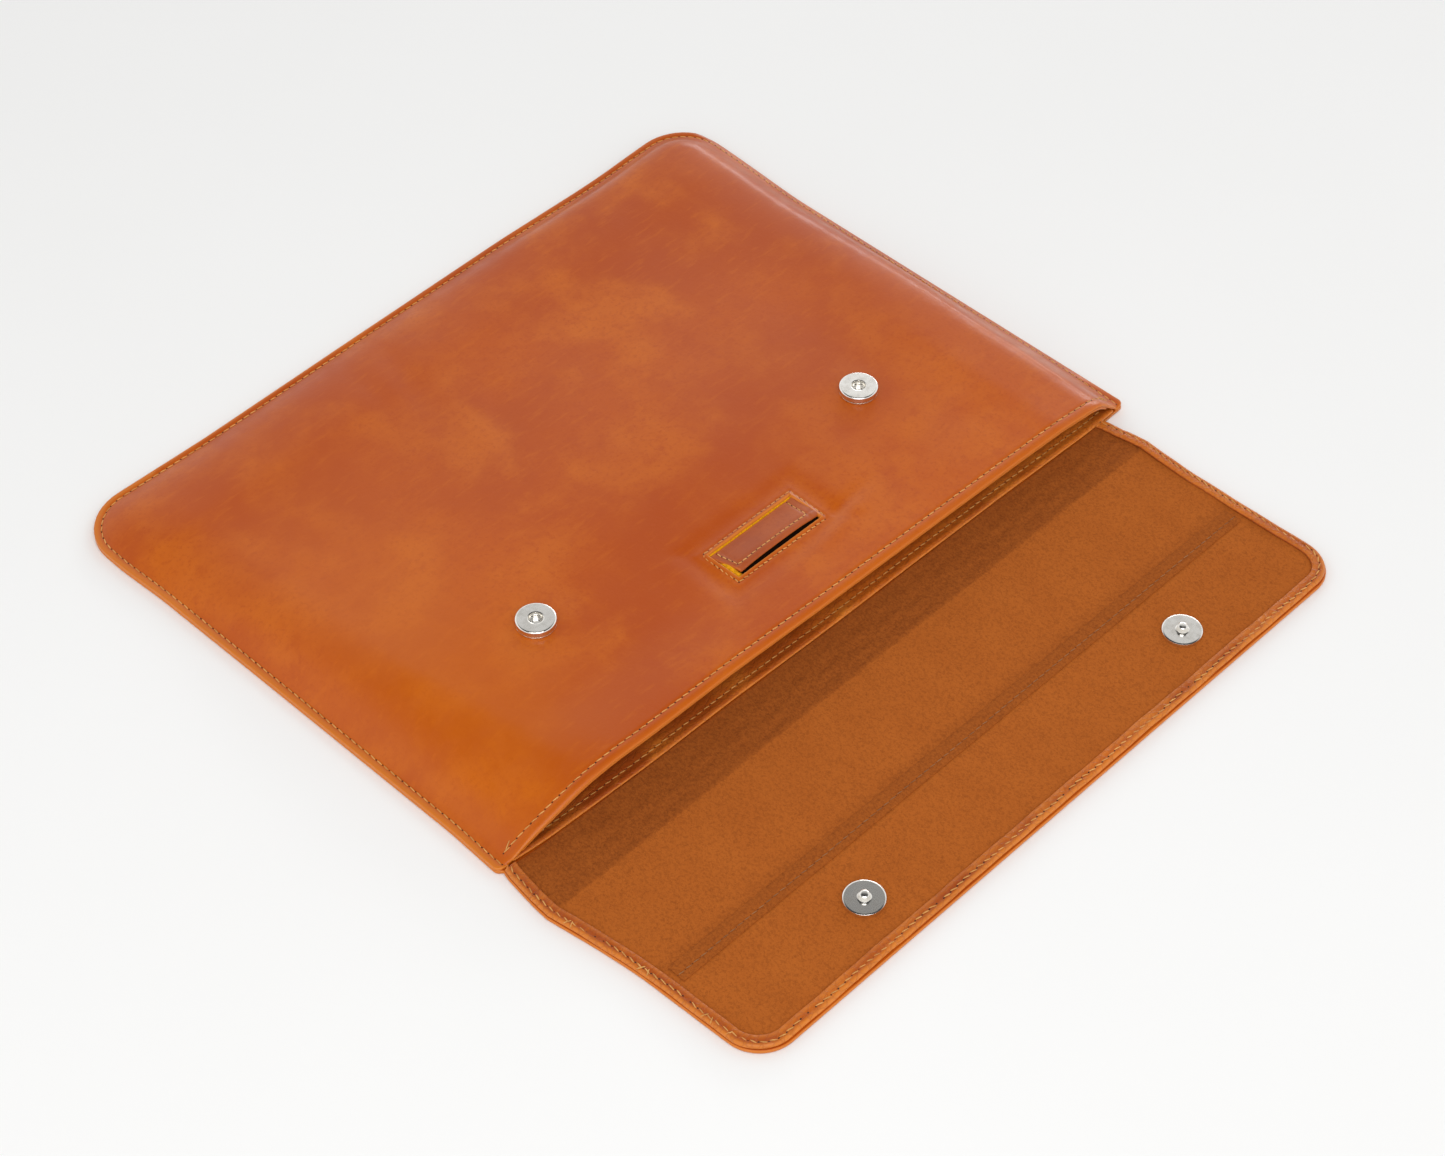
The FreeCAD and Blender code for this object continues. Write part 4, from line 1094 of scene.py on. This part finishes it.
def make_tape():
    """Suede tape over the joint in the flap's lining, with its stitches."""
    middle = (TAPE_LO.y + TAPE_HI.y) / 2
    half = (TAPE_HI.y - TAPE_LO.y) / 2
    ys = ticks(TAPE_LO.y, TAPE_HI.y, 0.6 * MM)

    def height(x, y):
        crown = 0.5 * MM * np.sqrt(np.clip(1 - ((y - middle) / (half * 1.15)) ** 2, 0, 1))
        seam = 0.35 * MM * bell(y - middle + 1 * MM, 0.6)
        return suede_height(x, y) + 0.15 * MM + crown - seam

    reach = TAPE_HI.x
    tape = grid_leaf("flap_tape_strip", ys, [reach] * len(ys), edge_spread(140), height,
                     0.35 * MM, (SUEDE,), bulge=0.15 * MM, shape=lean, body="flap",
                     slot="tan_suede", shades={"shade": even(0.55)})
    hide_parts("flap_tape")
    path, ups = on_surface(dense([(-reach, middle - 1 * MM), (reach, middle - 1 * MM)]),
                           height, lean)
    row = stitch_row("flap_tape_stitches", path, ups, body="flap", radius=0.19 * MM,
                     thread=TAPE_THREAD, seed=6)
    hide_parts("flap_tape_stitching")


# ------------------------------------------------------------------ keeper
def make_keeper():
    """Mustard backing, the leather patch that bridges the window, and both rows."""
    cx, cy, half_x, half_y = WINDOW
    upper, lower = cy + half_y, cy - half_y
    ys = ticks(BACKING_LO.y, BACKING_HI.y, 1.2 * MM, fine=[(upper - 4 * MM, upper, 0.3 * MM)])
    reach = (BACKING_HI.x - BACKING_LO.x) / 2
    sides = [(cx - reach, cx + reach)] * len(ys)

    def backing_height(x, y):
        inside = ease(half_x - np.abs(x - cx), 0.8)
        turned = 2.6 * MM * bell(y - upper + 1.3 * MM, 0.85) * inside
        end = 3.4 * MM * dent(x, y, (cx - half_x + 2.2 * MM, lower + 6.5 * MM), 90, 8.0,
                              2.2) * ease(half_x - np.abs(x - cx), 0.4)
        rough = waves(x, y, ((0.12 * MM, 0.017, 0.011, 0.0),))
        return TOP - LEATHER - 1.0 * MM + np.maximum(turned, end) + rough

    # painted shadow: the backing's strip on the mouth side, deep under the patch's raised edge,
    # turns near black
    def backing_shade(x, y):
        return ease(lower + 7 * MM - y, 2) * ease(x - cx + half_x - 4 * MM, 1)

    backing = grid_leaf("keeper_backing_suede", ys, sides, np.linspace(-1, 1, 110),
                        backing_height, BACKING_HI.z - BACKING_LO.z, (MUSTARD,),
                        bulge=0.3 * MM, body="sleeve", slot="mustard_suede",
                        shades={"shade": backing_shade})
    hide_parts("keeper_backing")

    low, high = lower + 2.5 * MM, upper - 2.5 * MM
    left, right = cx - half_x + 0.8 * MM, cx + half_x - 0.3 * MM

    def height(x, y):
        tilt = 2.6 * MM * (1 - smooth((y - low) / (high - low)))
        arch = np.clip(1 - np.abs((x - cx) / half_x) ** 3, 0, 1)
        nose = 1.0 * MM * (1 - np.sqrt(1 - np.clip((low + 2.4 * MM - y) / (2.4 * MM), 0, 1) ** 2))
        seam = 0.22 * MM * (bell(y - low - 3.6 * MM, 0.7)
                            + bell(x - left - 5.4 * MM, 0.7)
                            + bell(right - 4.4 * MM - x, 0.7))
        return TOP - 0.4 * MM + tilt * (0.3 + 0.7 * arch) - nose - seam

    ys = ticks(low, high, 0.7 * MM, fine=[(low, low + 3 * MM, 0.3 * MM)])
    sides = [(left + 3.4 * MM * (1 - (y - low) / (high - low)) ** 0.7, right) for y in ys]
    patch = grid_leaf("keeper_patch_leather", ys, sides, edge_spread(60, 0.05, 5), height,
                      1.9 * MM, (PATCH_LEATHER,), bulge=0.7 * MM, body="sleeve",
                      slot="tan_leather")
    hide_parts("keeper_patch")

    corners = [(left + 3.2 * MM, high - 0.3 * MM), (left + 4.6 * MM, low + 3.0 * MM),
               (right - 4.4 * MM, low + 3.0 * MM), (right - 4.4 * MM, high - 0.3 * MM)]
    path, ups = on_surface(dense(corners, 0.3 * MM), height)
    row = stitch_row("keeper_patch_stitches", path, ups, pitch=2.9 * MM, radius=0.27 * MM,
                     body="sleeve", seed=7)
    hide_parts("keeper_patch_stitching")

    reach_x, reach_y = half_x + 1.2 * MM, half_y + 1.2 * MM
    corners = [(cx - reach_x, cy - reach_y), (cx + reach_x, cy - reach_y),
               (cx + reach_x, cy + reach_y), (cx - reach_x, cy + reach_y),
               (cx - reach_x, cy - reach_y)]
    path, ups = on_surface(dense(corners, 0.3 * MM), front_height, settle)
    row = stitch_row("keeper_window_stitches", path, ups, pitch=3.0 * MM, radius=0.28 * MM,
                     slant=0.16, body="sleeve", seed=8)
    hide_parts("keeper_window_stitching")


# ------------------------------------------------------------------ magnetic snaps
CRISP_ANGLE = 38        # degrees between faces beyond which a turned corner stays crisp


def cap_profile(radius, foot, top):
    """The socket's cap: a rounded cup round the magnet, open in the middle."""
    wall = chamfer = 0.5
    hole, face = 3.2, radius - chamfer
    return [(radius - 0.35, foot), (radius - 0.05, foot + 0.2), (radius, foot + 0.4),
            (radius, foot + 0.6), (radius, top - chamfer - 0.2), (radius, top - chamfer),
            (radius - 0.12, top - chamfer * 0.5), (face, top - 0.05), (face - 0.15, top),
            (face - 0.4, top), (hole + 0.6, top), (hole + 0.4, top), (hole + 0.12, top - 0.12),
            (hole, top - 0.4), (hole, foot), (hole + wall, foot), (hole + wall, top - wall),
            (radius - wall, top - wall), (radius - wall, foot)]


def base_profile(radius, leather, top):
    """The socket's base plate on the leather, with its low post."""
    return [(0, leather + 0.02), (radius - 0.5, leather + 0.02), (radius - 0.2, leather + 0.08),
            (radius - 0.05, leather + 0.3), (radius - 0.1, top - 0.1), (radius - 0.5, top),
            (2.3, top), (2.2, top + 0.3), (2.0, top + 0.4), (1.8, top + 0.42), (0, top + 0.45)]


def stud_profile(radius, suede, tip):
    """The stud: a disc on the suede and the nub that goes into the socket."""
    disc = suede + 2.0
    return [(0, suede - 0.3), (radius - 0.6, suede - 0.3), (radius, suede + 0.1),
            (radius, disc - 0.5), (radius - 0.15, disc - 0.18), (radius - 0.55, disc),
            (radius - 0.8, disc), (3.3, disc), (3.0, disc), (2.65, disc + 0.15),
            (2.5, disc + 0.6), (2.15, tip - 0.45), (1.7, tip - 0.08), (1.0, tip), (0, tip)]


def turn_metal(name, profile, centre, body, node):
    """A nickel piece turned from a profile in millimetres, in place of a CAD node."""
    points, faces = lathe([(r * MM, z * MM) for r, z in profile], centre)
    if profile[0][0] == 0:
        points, faces = weld(points, faces)
    piece = add_piece(name, points, faces, (NICKEL,), body=body, slot="nickel_plate")
    piece.data.set_sharp_from_angle(angle=math.radians(CRISP_ANGLE))
    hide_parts(node)


def make_snaps():
    """Turned sockets on the front panel and studs on the flap."""
    for side in ("left", "right"):
        low, high = SNAPS[side]
        radius = (high.x - low.x) / 2 / MM
        centre = ((low.x + high.x) / 2, SOCKET_Y, 0)
        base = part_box(f"{side}_socket_base")[1].z / MM
        turn_metal(f"{side}_snap_cap", cap_profile(radius, low.z / MM + 0.12, high.z / MM),
                   centre, "sleeve", f"{side}_socket_cap")
        turn_metal(f"{side}_snap_base", base_profile(radius, TOP / MM, base), centre, "sleeve",
                   f"{side}_socket_base")
        stud_low, stud_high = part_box(f"{side}_stud")
        centre = ((stud_low.x + stud_high.x) / 2, (stud_low.y + stud_high.y) / 2, 0)
        turn_metal(f"{side}_snap_stud",
                   stud_profile(radius, SUEDE_TOP / MM, stud_high.z / MM), centre, "flap",
                   f"{side}_stud")
        for node in (f"{side}_socket_washer", f"{side}_stud_washer"):
            paint_node(node, STEEL)
        paint_node(f"{side}_socket_magnet", FERRITE)


def weld(points, faces):
    """Joins the points that lie on the axis of a turned piece, and drops empty faces."""
    keys, index = np.unique(np.round(points, 8), axis=0, return_inverse=True)
    index = index.reshape(-1)
    out = []
    for face in faces:
        ring = list(dict.fromkeys(index[list(face)].tolist()))
        if len(ring) > 2:
            out.append(tuple(ring))
    return keys, out


def paint_node(node, material):
    """A new finish on a carried-over CAD piece."""
    mesh = frame["nodes"][node].data
    mesh.materials.clear()
    mesh.materials.append(material)


# ------------------------------------------------------------------ stitches underneath
def make_under_stitches(sides):
    """The same rows seen on the smooth outside: round the back panel and the flap."""
    tops = np.linspace(-(HALF - CORNER), HALF - CORNER, 80)
    row = np.array(body_ring(SEAM_INSET, sides, tops))
    path = settle(np.column_stack([row, np.full(len(row), 0.12 * MM)]))
    down = np.tile((0, 0, -1.0), (len(path), 1))
    stitch_row("back_stitches", path[4:-4], down[4:-4], radius=0.28 * MM, body="sleeve", seed=9)
    places, ways = flap_path(MID_SPINE)
    row = np.column_stack([places + ways * BORDER_INSET, np.full(len(places), 0.12 * MM)])
    down = np.tile((0, 0, -1.0), (len(row), 1))
    flap = stitch_row("flap_back_stitches", lean(row), down, radius=0.28 * MM, seed=10)
    bend_at_crease(flap)


# ------------------------------------------------------------------ room, light, camera
# how bright the backdrop is against the sine of its elevation
WALL = {"From Min": 0.66, "From Max": 0.86, "To Min": 1.0, "To Max": 0.05}


def make_floor():
    size = 4.0
    mesh = bpy.data.meshes.new("floor")
    mesh.from_pydata([(-size, -size, 0), (size, -size, 0), (size, size, 0), (-size, size, 0)],
                     [], [(0, 1, 2, 3)])
    floor = bpy.data.objects.new("floor", mesh)
    floor.location.z = -0.4 * MM
    bpy.context.scene.collection.objects.link(floor)
    n = Nodes("floor_paper")
    place = n.own_place()
    colour = n.blend(n.noise(place, 3.0, 3), (0.89, 0.89, 0.885), (0.92, 0.92, 0.918))
    mesh.materials.append(n.finish(Base_Color=colour, Roughness=0.9, Specular_IOR_Level=0.1,
                                   Normal=n.bump(n.noise(place, 700, 2), 0.05 * MM, 0.2)))


def add_light(name, place, target, size, power):
    data = bpy.data.lights.new(name, "AREA")
    data.shape = "RECTANGLE"
    data.size, data.size_y = size
    data.energy = power
    lamp = bpy.data.objects.new(name, data)
    lamp.location = place
    lamp.rotation_euler = (Vector(target) - Vector(place)).to_track_quat("-Z", "Y").to_euler()
    bpy.context.scene.collection.objects.link(lamp)


def make_light():
    """Soft studio light: a pale backdrop all round that ends at half height, and a broad
    softbox overhead."""
    world = bpy.data.worlds.new("studio")
    world.use_nodes = True
    tree = world.node_tree
    sky = tree.nodes.new("ShaderNodeTexCoord")
    split = tree.nodes.new("ShaderNodeSeparateXYZ")
    wall = tree.nodes.new("ShaderNodeMapRange")
    wall.interpolation_type = "SMOOTHSTEP"
    for key, value in WALL.items():
        wall.inputs[key].default_value = value
    background = tree.nodes["Background"]
    background.inputs["Color"].default_value = (1.0, 0.995, 0.985, 1)
    tree.links.new(sky.outputs["Generated"], split.inputs["Vector"])
    tree.links.new(split.outputs["Z"], wall.inputs["Value"])
    tree.links.new(wall.outputs["Result"], background.inputs["Strength"])
    bpy.context.scene.world = world
    add_light("overhead", (-0.8, -0.9, 1.9), (0, 0, 0), (1.7, 1.7), 27)
    add_light("right_softbox", (1.9, 1.0, 0.55), (0.05, 0.05, 0), (1.3, 0.3), 7)
    bpy.context.scene.view_settings.view_transform = "Standard"


def make_camera():
    """Three-quarter view from beyond the flap's left corner."""
    data = bpy.data.cameras.new("camera")
    data.sensor_width, data.lens = 36.0, 74.07
    distance = 1314.7 * MM
    data.clip_start, data.clip_end = 0.05, 20
    camera = bpy.data.objects.new("camera", data)
    target = Vector((-13.6 * MM, -21.85 * MM, 0))
    azimuth, elevation, roll = (math.radians(a) for a in (-44.92, 46.99, -0.46))
    back = Vector((math.sin(azimuth) * math.cos(elevation),
                   -math.cos(azimuth) * math.cos(elevation), math.sin(elevation)))
    camera.location = target + back * distance
    look = (-back).to_track_quat("-Z", "Y").to_matrix()
    camera.rotation_euler = (look @ Matrix.Rotation(roll, 3, "Z")).to_euler()
    bpy.context.scene.collection.objects.link(camera)
    bpy.context.scene.camera = camera


side_rows = make_front()
make_front_inside()
make_leather()
make_suede()
make_back_facing()
make_border()
make_tape()
make_keeper()
make_snaps()
make_under_stitches(side_rows)
make_floor()
make_light()
make_camera()
